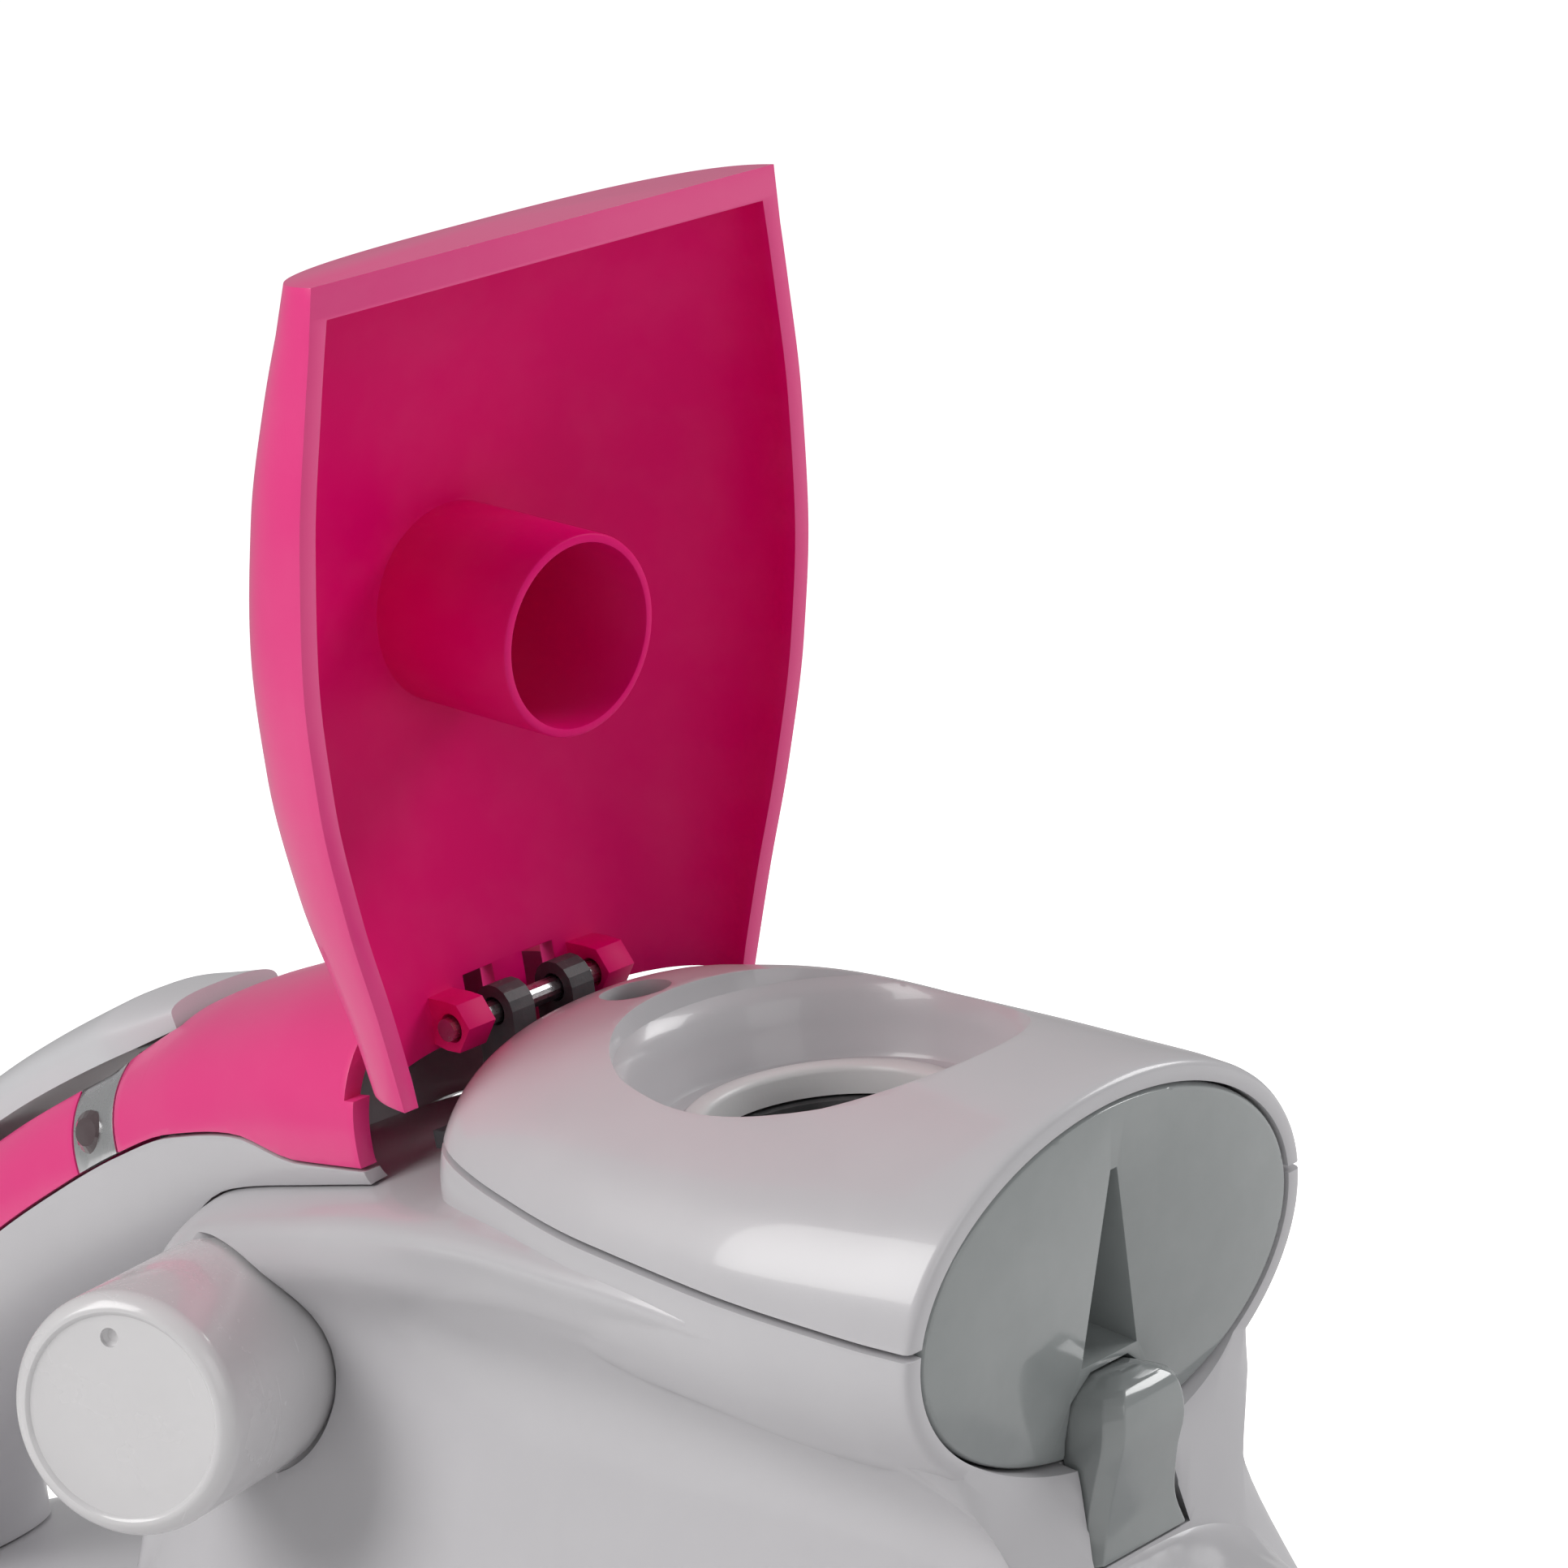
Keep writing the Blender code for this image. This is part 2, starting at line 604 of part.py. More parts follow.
def dome_shell():
    dome = barrel("dome", 0.0, 0.0)
    up = deck_normal()
    floor = -RECESS_DEPTH + 1.3
    keep(dome, wall_prism("dome_space", seam_outline(0.0), -80, 80))
    cut(dome, barrel_hollow())
    cup = turned("cup", recess_centre(floor - 2.0), up,
                 ((RECESS_FLOOR_RADIUS + 2, 0), (RECESS_RADIUS + 3.5, RECESS_DEPTH + 6.0)), 40)
    keep(cup, barrel("limit", 0.6, 0.0))
    join(dome, cup)
    cut(dome, turned("funnel", recess_centre(floor), up,
                     ((RECESS_FLOOR_RADIUS, 0), (RECESS_FLOOR_RADIUS + 1.4, RECESS_DEPTH - 2.0),
                      (RECESS_RADIUS, RECESS_DEPTH), (RECESS_RADIUS + 1.2, RECESS_DEPTH + 8)), 40))
    cut(dome, turned("mouth", recess_centre(floor - 9), up,
                     ((COLLAR_RADIUS + GAP, 0), (COLLAR_RADIUS + GAP, 20)), 36))
    cut(dome, turned("vent", deck_point(VENT_REACH, 0, -8), up, ((VENT_RADIUS, 0), (VENT_RADIUS, 20)), 20))
    return finish(dome, "dome_shell", "light_grey")


def barrel_hollow():
    """The inside of the barrel, open through its front."""
    rings = [barrel_ring(x, DOME_WALL) for x in (BARREL_STATIONS[1] + 1.0,) + BARREL_STATIONS[2:]]
    return loft("hollow", rings + [face_ring(-3.4, 0.3), face_ring(4.0, 0.3)])


def filler():
    """Collar with a raised rounded lip, and the seal that grips the tank's neck under it."""
    up = deck_normal()
    floor = -RECESS_DEPTH + 1.3
    inner = FILL_RADIUS
    collar = turned("collar", recess_centre(floor - 2.0), up,
                    ((inner, 0.0), (COLLAR_RADIUS, 0.0), (COLLAR_RADIUS, 2.6), (COLLAR_RADIUS - 0.8, 3.4),
                     (inner + 0.9, 3.4), (inner, 2.8)), 40, ring=True)
    finish(collar, "filler_collar", "pale_grey")
    seal = turned("seal", recess_centre(floor - 2.0 - GAP - 3.0), up,
                  ((inner - 1.0, 0.0), (COLLAR_RADIUS, 0.0), (COLLAR_RADIUS, 3.0), (inner - 1.0, 3.0)),
                  36, ring=True)
    finish(seal, "filler_seal", "rubber")


def notch_tool(grow):
    """The wedge notch under the lid's lip: narrow at its top, deep and wide at its foot."""
    plane = Vector((FACE_X, 0, FACE_Z))
    rings = []
    for lift, half, depth in ((12.0 + grow, 0.5 + grow, 1.0 + grow), (-9.0 - grow, 4.4 + grow, 7.0 + grow)):
        rings.append([tilted(plane, -FACE_TILT, reach, side, lift)
                      for reach, side in ((3.0, -half), (3.0, half), (-depth, half), (-depth, -half))])
    return loft("notch", rings)


def front_window():
    window = loft("window", [face_ring(-3.0, 0.0), face_ring(-0.7, 0.0), face_ring(0.0, -0.7)])
    cut(window, window_block(GAP))
    join(window, notch_pocket())
    cut(window, notch_tool(0.0))
    centre = nozzle_point(0)
    cut(window, rod("nozzle_hole", centre + Vector((-4, 0, 0)), centre + Vector((12, 0, 0)), 2.0, 16))
    return finish(window, "front_window", "smoke")


def notch_pocket():
    """The back of the notch, behind the window."""
    plane = Vector((FACE_X, 0, FACE_Z))
    rings = []
    for lift, half, depth in ((13.0, 2.0, 2.6), (-9.6, 6.0, 9.0)):
        rings.append([tilted(plane, -FACE_TILT, reach, side, lift)
                      for reach, side in ((-1.0, -half), (-1.0, half), (-depth, half), (-depth, -half))])
    return loft("pocket", rings)


def nozzle_point(forward):
    return tilted(Vector((FACE_X, 0, FACE_Z)), -FACE_TILT, forward - 9.5, 0, -4.5)


def spray_nozzle():
    start = nozzle_point(-3.0)
    nozzle = turned("nozzle", start, (1, 0, 0), ((1.0, 0.0), (1.7, 0.6), (1.7, 5.4), (0.9, 6.2)), 16)
    cut(nozzle, rod("bore", start + Vector((3, 0, 0)), start + Vector((9, 0, 0)), 0.5, 8))
    return finish(nozzle, "spray_nozzle", "silver")


def window_rings(grow):
    """Sections of the sight window, from the bump under the notch down the neck."""
    back = along(86.0)
    front = along(89.0)
    rows = ((rise(94.5), 2.6, front + 2.6), (rise(92.5), 5.6, front + 4.6), (rise(88.5), 6.4, front + 4.4),
            (rise(84.0), 6.5, front + 2.4), (rise(79.0), 7.0, front + 0.6), (rise(75.2), 8.2, front + 0.2))
    rings = []
    for z, half, nose in rows:
        half += grow
        nose += grow
        corner = min(1.6, half * 0.5)
        rings.append([(back - grow, -half, z), (nose - corner, -half, z), (nose, -half + corner, z),
                      (nose, half - corner, z), (nose - corner, half, z), (back - grow, half, z)])
    return rings


def window_block(grow):
    """The room that the sight window needs in its neighbours."""
    rings = window_rings(grow)
    rings[0] = [(x, y, z + grow) for x, y, z in rings[0]]
    rings[-1] = [(x, y, z - grow) for x, y, z in rings[-1]]
    return loft("window_room", rings)


def tank_window():
    return finish(loft("sight", window_rings(0.0)), "tank_window", "smoke")


def water_tank():
    """The vessel under the dome, with a neck up to the filler seal."""
    def vessel(inset, name):
        rows = ((-12.0, 12.0, 62.0, 92.0), (0.0, 17.0, 48.0, 98.0), (30.0, 19.0, 40.0, 104.0),
                (60.0, 17.0, 36.0, 101.0), (76.0, 13.0, 36.0, 94.0))
        rings = []
        for k, (x, half, low, top) in enumerate(rows):
            shift = inset if k == 0 else -inset if k == len(rows) - 1 else 0.0
            half -= inset
            middle = (rise(low) + rise(top)) / 2
            tall = (rise(top) - rise(low)) / 2 - inset
            rings.append(superellipse(Vector((along(x) + shift, 0, middle)), 0, half, tall, tall, 3.2, 28))
        return loft(name, rings)

    up = deck_normal()
    neck_top = -RECESS_DEPTH + 1.3 - 2.0 - GAP - 3.0 - GAP
    neck = (recess_centre(neck_top).z - rise(NECK_FOOT)) / up.z
    tank = vessel(0.0, "tank")
    join(tank, turned("neck", recess_centre(neck_top - neck), up, ((14.5, 0), (14.5, neck)), 28))
    cut(tank, vessel(TANK_WALL, "inside"))
    cut(tank, turned("neck_bore", recess_centre(neck_top - neck - 4), up, ((12.6, 0), (12.6, neck + 14)), 28))
    cut(tank, rod("outlet", (VALVE_X, 0, rise(30.0)), (VALVE_X, 0, rise(50.0)), 3.4, 16))
    return finish(tank, "water_tank", "smoke")


def drip_valve(chamber_top):
    low = chamber_top + GAP
    top = rise(38.6) - GAP
    valve = turned("valve", (VALVE_X, 0, low), (0, 0, 1),
                   ((5.4, 0.0), (5.4, 3.0), (3.6, 3.4), (3.6, top - low)), 24)
    cut(valve, rod("way", (VALVE_X, 0, low - 1), (VALVE_X, 0, top + 1), 1.3, 12))
    return finish(valve, "drip_valve", "brass")


# ---- temperature dial ----

def dial_point(forward):
    """A point on the dial's axis, measured outwards from its face."""
    return HINGE + DIAL_FACE + DIAL_AXIS * forward


def dial():
    back = -DIAL_LENGTH
    knob = turned("knob", dial_point(0), DIAL_AXIS,
                  ((DIAL_RADIUS, back + 2.4), (DIAL_RADIUS, -1.8), (DIAL_RADIUS - 0.6, -0.7),
                   (DIAL_RADIUS - 1.8, 0.0), (DIAL_RADIUS - 2.4, -0.4)), 48)
    up = DIAL_AXIS.cross(Vector((0, 0, 1)).cross(DIAL_AXIS)).normalized()
    start = dial_point(-1.4) + up * (DIAL_RADIUS - 5.0)
    cut(knob, rod("mark", start, start + DIAL_AXIS * 5, 1.1, 16))
    cut(knob, rod("socket", dial_point(back), dial_point(back + 11), SHAFT_RADIUS + GAP, 16))
    finish(knob, "temperature_dial", "light_grey", dial_point(0))
    shaft = rod("shaft", dial_point(back - 12), dial_point(back + 10), SHAFT_RADIUS, 16)
    finish(shaft, "dial_shaft", "steel", dial_point(0))
    switch = turned("switch", dial_point(-SWITCH_DEPTH), -DIAL_AXIS,
                    ((SWITCH_RADIUS, 0.0), (SWITCH_RADIUS, SWITCH_THICK)), 20)
    cut(switch, rod("switch_bore", dial_point(back - 30), dial_point(back), SHAFT_RADIUS + GAP, 16))
    finish(switch, "rotary_switch", "dark_grey")


# ---- handle ----

# Each row: position, middle height, half width, height above and below the middle, lean of the section.
HANDLE_ROWS = (
    (4.0, 119.0, 22.5, 17.5, 10.0, 0.0),
    (-10.0, 118.5, 21.5, 17.0, 12.0, 4.0),
    (-28.0, 116.5, 19.5, 15.5, 13.5, 9.0),
    (-46.0, 111.5, 17.8, 15.0, 14.0, 16.0),
    (-66.0, 105.0, 16.8, 14.5, 14.0, 21.0),
    (-86.0, 96.0, 16.4, 14.2, 14.0, 27.0),
    (-104.0, 85.0, 16.6, 14.0, 14.0, 35.0),
    (-119.0, 72.0, 17.5, 14.0, 13.5, 46.0),
    (-130.0, 57.0, 19.5, 13.0, 13.0, 60.0),
    (-134.5, 44.0, 22.0, 12.0, 12.0, 74.0),
)
HANDLE_POWER = 2.3


def handle_ring(row, inset, count=32):
    x, z, half, up, down, lean = row
    return superellipse(Vector((along(x), 0, rise(z))), steepened(x, lean), half - inset, up - inset, down - inset,
                        HANDLE_POWER, count)


def handle_envelope(name, inset, rows=HANDLE_ROWS):
    return loft(name, [handle_ring(row, inset) for row in rows])


def cover_outline(front, rear, offset):
    """Side view of the space above the line between the covers and the frame."""
    line = ((20.0, 117.2), (-8.0, 117.0), (-20.0, 119.0), (-34.0, 117.6), (-46.0, 114.2), (-60.0, 108.8),
            (-78.0, 100.6), (-94.0, 91.0), (-108.0, 79.5), (-117.0, 69.0), (-122.0, 60.0))
    points = [(along(x), rise(z) + offset) for x, z in line if rear < x < front]
    first = (along(front), rise(smooth_value(sorted(line), front)) + offset)
    last = (along(rear), rise(smooth_value(sorted(line), rear)) + offset)
    high = 60.0
    points = [first] + points + [last]
    return points + [(points[-1][0] - 8.0, points[-1][1] + high * 0.7), (first[0], first[1] + high)]


FRONT_COVER = (4.0, -45.0)
BAND = (-45.0, -54.0)
REAR_COVER = (-54.0, -118.0)


def slice_between(front, rear, low=-40.0, high=60.0, lean=0.0):
    """A leaning slab across the handle between two stations, measured at the cover line."""
    def edge(x):
        line = smooth_value(sorted((row[0], row[1]) for row in HANDLE_ROWS), x)
        tilt = smooth_value(sorted((row[0], row[5]) for row in HANDLE_ROWS), x)
        return Vector((along(x), 0, rise(line))), steepened(x, tilt)
    (a, tilt_a), (b, tilt_b) = edge(front), edge(rear)
    corners = (tilted(a, tilt_a + lean, 0, 0, low), tilted(a, tilt_a + lean, 0, 0, high),
               tilted(b, tilt_b + lean, 0, 0, high), tilted(b, tilt_b + lean, 0, 0, low))
    return wall_prism("slab", [(p.x, p.z) for p in corners], -60, 60)


def handle():
    shell = handle_envelope("handle", 0.0)
    inner_rows = [list(row) for row in HANDLE_ROWS]
    inner_rows[0][0] += 3.0
    inner_rows[-1][1] -= 4.0
    cut(shell, handle_envelope("inside", HANDLE_WALL, inner_rows))
    cut(shell, lid_clearance())
    pieces = {}
    for name, (front, rear) in (("front", FRONT_COVER), ("band", BAND), ("rear", REAR_COVER)):
        part = copy_of(shell, name)
        keep(part, wall_prism("line", cover_outline(20.0, -122.0, GAP), -60, 60))
        keep(part, slice_between(front - GAP / 2, rear + GAP / 2))
        pieces[name] = part
    frame = copy_of(shell, "frame")
    cut(frame, cover_region())
    cut(frame, body_room())
    bpy.data.objects.remove(shell)
    for part in pieces.values():
        cut(part, lever_room())
    finish(pieces["front"], "handle_cover_front", "pink")
    for side, y in (("left", 30.0), ("right", -30.0)):
        half = keep(copy_of(pieces["band"], side), box("half", (-80, min(0, 2 * y), 0), (0, max(0, 2 * y), 200)))
        finish(half, "handle_band_" + side, "silver")
    bpy.data.objects.remove(pieces["band"])
    finish(pieces["rear"], "handle_cover_rear", "pink")
    return finish(frame, "handle_frame", "light_grey")


def cover_region():
    """The covers' space, kept to the stations that covers and band take up."""
    region = wall_prism("covers", cover_outline(20.0, -122.0, 0.0), -60, 60)
    return keep(region, slice_between(20.0, REAR_COVER[1]))


def body_room():
    """The body's outer solid, grown by the gap that neighbours keep."""
    return loft("body_room", [body_ring(row, -GAP, BODY_FOOT - 6) for row in BODY_ROWS])


def lid_clearance():
    """Room ahead of the handle for the open lid's foot."""
    back = lid_point(-8.0, 0, 8.4)
    top = lid_point(40.0, 0, 8.4 + 9.0)
    outline = ((back.x, back.z), (top.x, top.z), (back.x + 60, top.z), (back.x + 60, back.z))
    return wall_prism("lid_room", outline, -50, 50)


def lever_top(x):
    """Height of the handle's top line at a station, and the lean of the section there."""
    rows = sorted(HANDLE_ROWS)
    middle = smooth_value([(row[0], row[1]) for row in rows], x)
    up = smooth_value([(row[0], row[3]) for row in rows], x)
    lean = steepened(x, smooth_value([(row[0], row[5]) for row in rows], x))
    return tilted(Vector((along(x), 0, rise(middle))), lean, 0, 0, up), lean


def lever_solid(name, grow, front_grow, thick, sink):
    """The lever's body: a slim crowned bar that follows the handle's top line."""
    rings = []
    front = LEVER_FRONT + front_grow
    stations = [front - (front - LEVER_REAR + grow) * k / 7 for k in range(8)]
    for k, x in enumerate(stations):
        top, lean = lever_top(x)
        end = 0.72 if k in (0, 7) else 1.0
        half = (LEVER_HALF_WIDTH + grow) * end
        lift = (thick + grow) * (0.45 if k in (0, 7) else 1.0)
        ring = []
        for side, height in ((-1.0, -sink), (-1.0, 0.35 * lift), (-0.8, 0.75 * lift), (-0.45, 0.95 * lift),
                             (0.0, lift), (0.45, 0.95 * lift), (0.8, 0.75 * lift), (1.0, 0.35 * lift),
                             (1.0, -sink)):
            ring.append(tilted(top, lean, 0.0, side * half, height))
        rings.append(ring)
    return loft(name, rings)


def lever_room():
    return lever_solid("lever_room", RUN_GAP, LEVER_FRONT_GAP, LEVER_THICK + 3.0, HANDLE_WALL + 6.0)


def lever_pivot():
    top, lean = lever_top(LEVER_REAR + 4.0)
    return tilted(top, lean, 0, 0, 0.4)


def steam_lever():
    lever = lever_solid("lever", 0.0, 0.0, LEVER_THICK, LEVER_SINK)
    pivot = lever_pivot()
    cut(lever, rod("pin_bore", pivot + Vector((0, -9.6, 0)), pivot + Vector((0, 9.6, 0)), 1.3, 12))
    foot, lean = lever_top(PLUNGER_STATION)
    finish(lever, "steam_lever", "pale_grey", pivot)
    pin = rod("pin", pivot + Vector((0, -9.0, 0)), pivot + Vector((0, 9.0, 0)), 1.0, 12)
    finish(pin, "lever_pin", "steel", pivot)
    return foot, lean


def pump(foot, lean):
    """Pump under the lever: body, plunger, piston seal and return spring."""
    def point(drop):
        return tilted(foot, lean, 0, 0, -drop)

    down = point(1.0) - point(0.0)
    plunger = turned("plunger", point(LEVER_SINK + GAP), down,
                     ((4.6, 0.0), (4.6, 1.4), (PLUNGER_RADIUS, 1.8), (PLUNGER_RADIUS, 13.8), (0.85, 14.0),
                      (0.85, 16.6)), 20)
    finish(plunger, "pump_plunger", "dark_grey", point(2.0))
    seal = turned("seal", point(16.0), down, ((1.2, 0.0), (PUMP_RADIUS - 1.6, 0.0), (PUMP_RADIUS - 1.6, 1.6),
                                              (1.2, 1.6)), 20, ring=True)
    finish(seal, "piston_seal", "rubber", point(2.0))
    coil = []
    turns = 4
    for k in range(turns * 10 + 1):
        a = 2 * math.pi * k / 10
        across, other = axis_frame(down)
        coil.append(point(4.2 + 4.6 * k / (turns * 10)) + 3.7 * (math.cos(a) * across + math.sin(a) * other))
    finish(swept("spring", coil, 0.4, 6), "return_spring", "steel")
    body = turned("body", point(9.4), down, ((PUMP_RADIUS, 0.0), (PUMP_RADIUS, 12.4)), 24)
    cut(body, rod("cylinder", point(11.0), point(20.4), PUMP_RADIUS - 1.4, 24))
    cut(body, rod("guide", point(8.0), point(14.0), PLUNGER_RADIUS + GAP, 16))
    cut(body, rod("outlet", point(18.0), point(30.0), 1.2, 10))
    finish(body, "pump_body", "dark_grey")


# ---- lid ----

LID_HALF = ((-3.2, 27.2), (8.0, 30.2), (20.0, 33.8), (34.0, 36.8), (48.0, 38.0), (62.0, 37.4), (76.0, 35.6),
            (88.6, 33.6))
LID_CROWN = ((-3.2, 5.4), (4.0, 6.6), (10.0, 8.6), (20.0, 11.2), (34.0, 12.6), (48.0, 12.9), (62.0, 11.8),
             (74.0, 9.4), (84.0, 6.2), (88.6, 4.6))
LID_STATIONS = (-3.2, 2.0, 8.0, 16.0, 26.0, 38.0, 50.0, 62.0, 74.0, 82.0)


def lid_ring(reach, inset, skirt=0.0, steps=12):
    """An arched section of the lid; `skirt` carries its sides on below the rim."""
    half = smooth_value(LID_HALF, reach) - inset
    crown = smooth_value(LID_CROWN, reach) - inset
    rake = 0.0 if inset else LID_FRONT_RAKE * max(reach - LID_STATIONS[-1], 0.0) / (
        LID_LENGTH - LID_FRONT_RAKE - LID_STATIONS[-1])
    ring = []
    for k in range(steps + 1):
        a = math.pi * k / steps
        c, s = math.cos(a), math.sin(a)
        side = half * math.copysign(abs(c) ** (2 / 2.7), c)
        lift = -LID_RIM_DROP + (crown + LID_RIM_DROP) * abs(s) ** (2 / 2.7)
        share = (crown - lift) / (crown + LID_RIM_DROP)
        ring.append((reach + rake * share, side, lift))
    if skirt:
        low = -LID_RIM_DROP - skirt
        ring = [(*ring[0][:2], low)] + ring + [(*ring[-1][:2], low)]
    return [lid_point(*p) for p in ring]


def lid():
    end = LID_LENGTH - LID_FRONT_RAKE
    shell = loft("lid", [lid_ring(s, 0.0) for s in LID_STATIONS + (end,)])
    hollow_stations = (-9.0,) + LID_STATIONS[1:] + (end - LID_LIP,)
    cut(shell, loft("hollow", [lid_ring(s, LID_WALL, 4.0) for s in hollow_stations]))
    down = lid_point(0, 0, -1) - lid_point(0, 0, 0)
    plate = smooth_value(LID_CROWN, LID_REACH) - LID_WALL / 2
    length = plate + PLUG_DROP
    join(shell, turned("plug", lid_point(LID_REACH, 0, plate), down,
                       ((PLUG_RADIUS, 0.0), (PLUG_RADIUS, length - 0.4), (PLUG_RADIUS - 0.4, length)), 36))
    cut(shell, turned("plug_bore", lid_point(LID_REACH, 0, plate - LID_WALL / 2), down,
                      ((PLUG_RADIUS - PLUG_WALL, 0.0), (PLUG_RADIUS - PLUG_WALL, 40.0)), 36))
    for side in (-LUG_SPACING, LUG_SPACING):
        join(shell, lug(side))
        cut(shell, arm_window(side))
    past_lugs = Vector((0, LUG_SPACING + LUG_WIDTH / 2 + 2 * RUN_GAP, 0))
    cut(shell, rod("pin_bore", HINGE - past_lugs, HINGE + past_lugs, PIN_RADIUS + GAP, 16))
    cut(shell, catch_pocket())
    return finish(shell, "lid", "pink", HINGE)


def lug(side):
    """A hinge lug: an L that hangs from the plate, with its eye round the pin."""
    half = LUG_WIDTH / 2
    outline = [(-2.6, -1.2), (0.6, -2.9), (2.9, -0.9), (2.9, 1.0), (2.4, 6.4), (-2.2, 6.0), (-2.8, 0.8)]
    rings = [[lid_point(s, side + y, n) for s, n in outline] for y in (-half, half)]
    return loft("lug", rings)


def arm_window(side):
    """The opening in the lid's foot that the bracket's arm passes through."""
    inner = side - math.copysign(ARM_OFFSET, side)
    half = ARM_WIDTH / 2 + RUN_GAP
    corners = [lid_point(s, 0, n) for s, n in ((-12.0, -12.0), (3.4, -12.0), (3.4, 12.0), (-12.0, 12.0))]
    return wall_prism("arm_room", [(p.x, p.z) for p in corners], inner - half, inner + half)


def catch_pocket():
    """The pocket inside the lid's front lip, where it snaps over the dome's edge."""
    wall = LID_LENGTH - LID_FRONT_RAKE - LID_LIP
    outline = ((wall - 0.5, -6.4), (wall + 1.7, -6.4), (wall + 1.7, -3.4), (wall - 0.5, -2.8))
    return loft("catch", [[lid_point(s, y, n) for s, n in outline] for y in (-4.2, 4.2)])


def hinge():
    """Bracket with two arms on the body, and the pin through arms and lugs."""
    base_z = rise(117.6)
    back = HINGE_X - 4.4
    bracket = box("bracket", (back, -14.5, base_z), (HINGE_X + 2.2, 14.5, base_z + 2.0))
    for side in (-LUG_SPACING, LUG_SPACING):
        middle = side - math.copysign(ARM_OFFSET, side)
        outline = [(back + 0.6, base_z + 1.0), (HINGE_X + 1.8, base_z + 1.0)]
        outline += [(HINGE_X + 3.0 * math.cos(a), HINGE_HEIGHT + 3.0 * math.sin(a))
                    for a in [math.pi * k / 8 for k in range(9)]]
        join(bracket, wall_prism("arm", outline, middle - ARM_WIDTH / 2, middle + ARM_WIDTH / 2))
    cut(bracket, rod("bore", HINGE + Vector((0, -30, 0)), HINGE + Vector((0, 30, 0)), PIN_RADIUS + GAP, 16))
    finish(bracket, "hinge_bracket", "dark_grey")
    reach = LUG_SPACING + LUG_WIDTH / 2 + 0.8
    pin = rod("pin", HINGE + Vector((0, -reach, 0)), HINGE + Vector((0, reach, 0)), PIN_RADIUS, 16)
    finish(pin, "hinge_pin", "steel")


# ---- heel and electrics ----

def heel_parts():
    gland = turned("gland", (HEEL_X + 9.5, 0, GLAND_Z), (-1, 0, 0),
                   ((5.0, 0.0), (5.9, 0.6), (5.9, 7.6), (3.4, 7.6), (3.4, 0.6), (3.0, 0.0)), 24, ring=True)
    finish(gland, "cord_gland", "rubber")
    low = BODY_FOOT + 2.0
    block = box("block", (HEEL_X + 16, -16, low), (HEEL_X + 28, 16, low + 9))
    for y in (-10, 0, 10):
        cut(block, rod("way", (HEEL_X + 14, y, low + 5.5), (HEEL_X + 30, y, low + 5.5), 2.2, 12))
    finish(block, "terminal_block", "dark_grey")
    for side, y in (("left", 12.0), ("right", -12.0)):
        x = HEEL_X + 22
        screw = turned("screw", (x + 0.0, y * 1.9, low), (0, 0, 1),
                       ((1.6, 0.0), (1.6, 6.0), (3.4, 6.6), (3.4, 8.6)), 16)
        finish(screw, "heel_screw_" + side, "steel")
    board = box("board", (HEEL_X + 34, -26, low + 3), (HEEL_X + 62, 26, low + 4.6))
    for x, y, size, height in ((40, -16, 5, 4), (50, -4, 6, 6), (44, 12, 4, 3), (56, 18, 3, 5)):
        chip = box("chip", (HEEL_X + x - size, y - size, low + 4.2), (HEEL_X + x + size, y + size,
                                                                        low + 4.6 + height))
        join(board, chip)
    finish(board, "control_board", "board")


def lamp_place():
    """Where the lamp's axis meets the band, on the side that the dial is on."""
    rows = sorted(HANDLE_ROWS)
    middle, half, up, lean = [smooth_value([(row[0], row[column]) for row in rows], LAMP_STATION)
                              for column in (1, 2, 3, 5)]
    side = half * (1 - (LAMP_LIFT / up) ** HANDLE_POWER) ** (1 / HANDLE_POWER)
    middle = Vector((along(LAMP_STATION), 0, rise(middle)))
    return tilted(middle, steepened(LAMP_STATION, lean), 0, -side, LAMP_LIFT)


def status_lamp():
    way = Vector(LAMP_AXIS).normalized()
    cut(bpy.data.objects["handle_band_right"],
        rod("lamp_hole", lamp_place() - way * 8, lamp_place() + way * 8, LAMP_RADIUS + GAP, 20))
    bulb = turned("bulb", lamp_place() - way * 4.0, way,
                  ((LAMP_RADIUS - 0.8, 0.0), (LAMP_RADIUS, 0.6), (LAMP_RADIUS, 4.0), (LAMP_RADIUS - 0.9, 4.8)), 20)
    return finish(bulb, "status_lamp", "smoke")


def main():
    for obj in list(bpy.data.objects):
        bpy.data.objects.remove(obj)
    soleplate()
    chamber_top = steam_casting()
    thermostat()
    heat_shield()
    body = body_shell()
    dome_shell()
    filler()
    front_window()
    spray_nozzle()
    tank_window()
    water_tank()
    drip_valve(chamber_top)
    dial()
    finish(body, "body_shell", "light_grey")
    handle()
    status_lamp()
    pump(*steam_lever())
    lid()
    hinge()
    heel_parts()


main()
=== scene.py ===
"""Steam iron with its filling lid open: the visible pieces, their finishes and the studio round them."""

import math

import bpy
from mathutils import Matrix, Vector


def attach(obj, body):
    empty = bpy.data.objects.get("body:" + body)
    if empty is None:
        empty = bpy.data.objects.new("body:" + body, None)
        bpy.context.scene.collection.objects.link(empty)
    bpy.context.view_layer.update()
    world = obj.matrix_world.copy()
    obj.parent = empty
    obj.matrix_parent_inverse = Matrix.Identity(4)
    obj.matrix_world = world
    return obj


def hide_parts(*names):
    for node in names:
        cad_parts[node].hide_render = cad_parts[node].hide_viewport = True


bl_info = {
    "name": "Steam Iron Builder",
    "version": (1, 0, 0),
    "blender": (4, 5, 0),
    "location": "View3D > Sidebar > Steam Iron",
    "description": "Models and finishes the visible pieces of a steam iron with an open filling lid",
    "category": "Object",
}

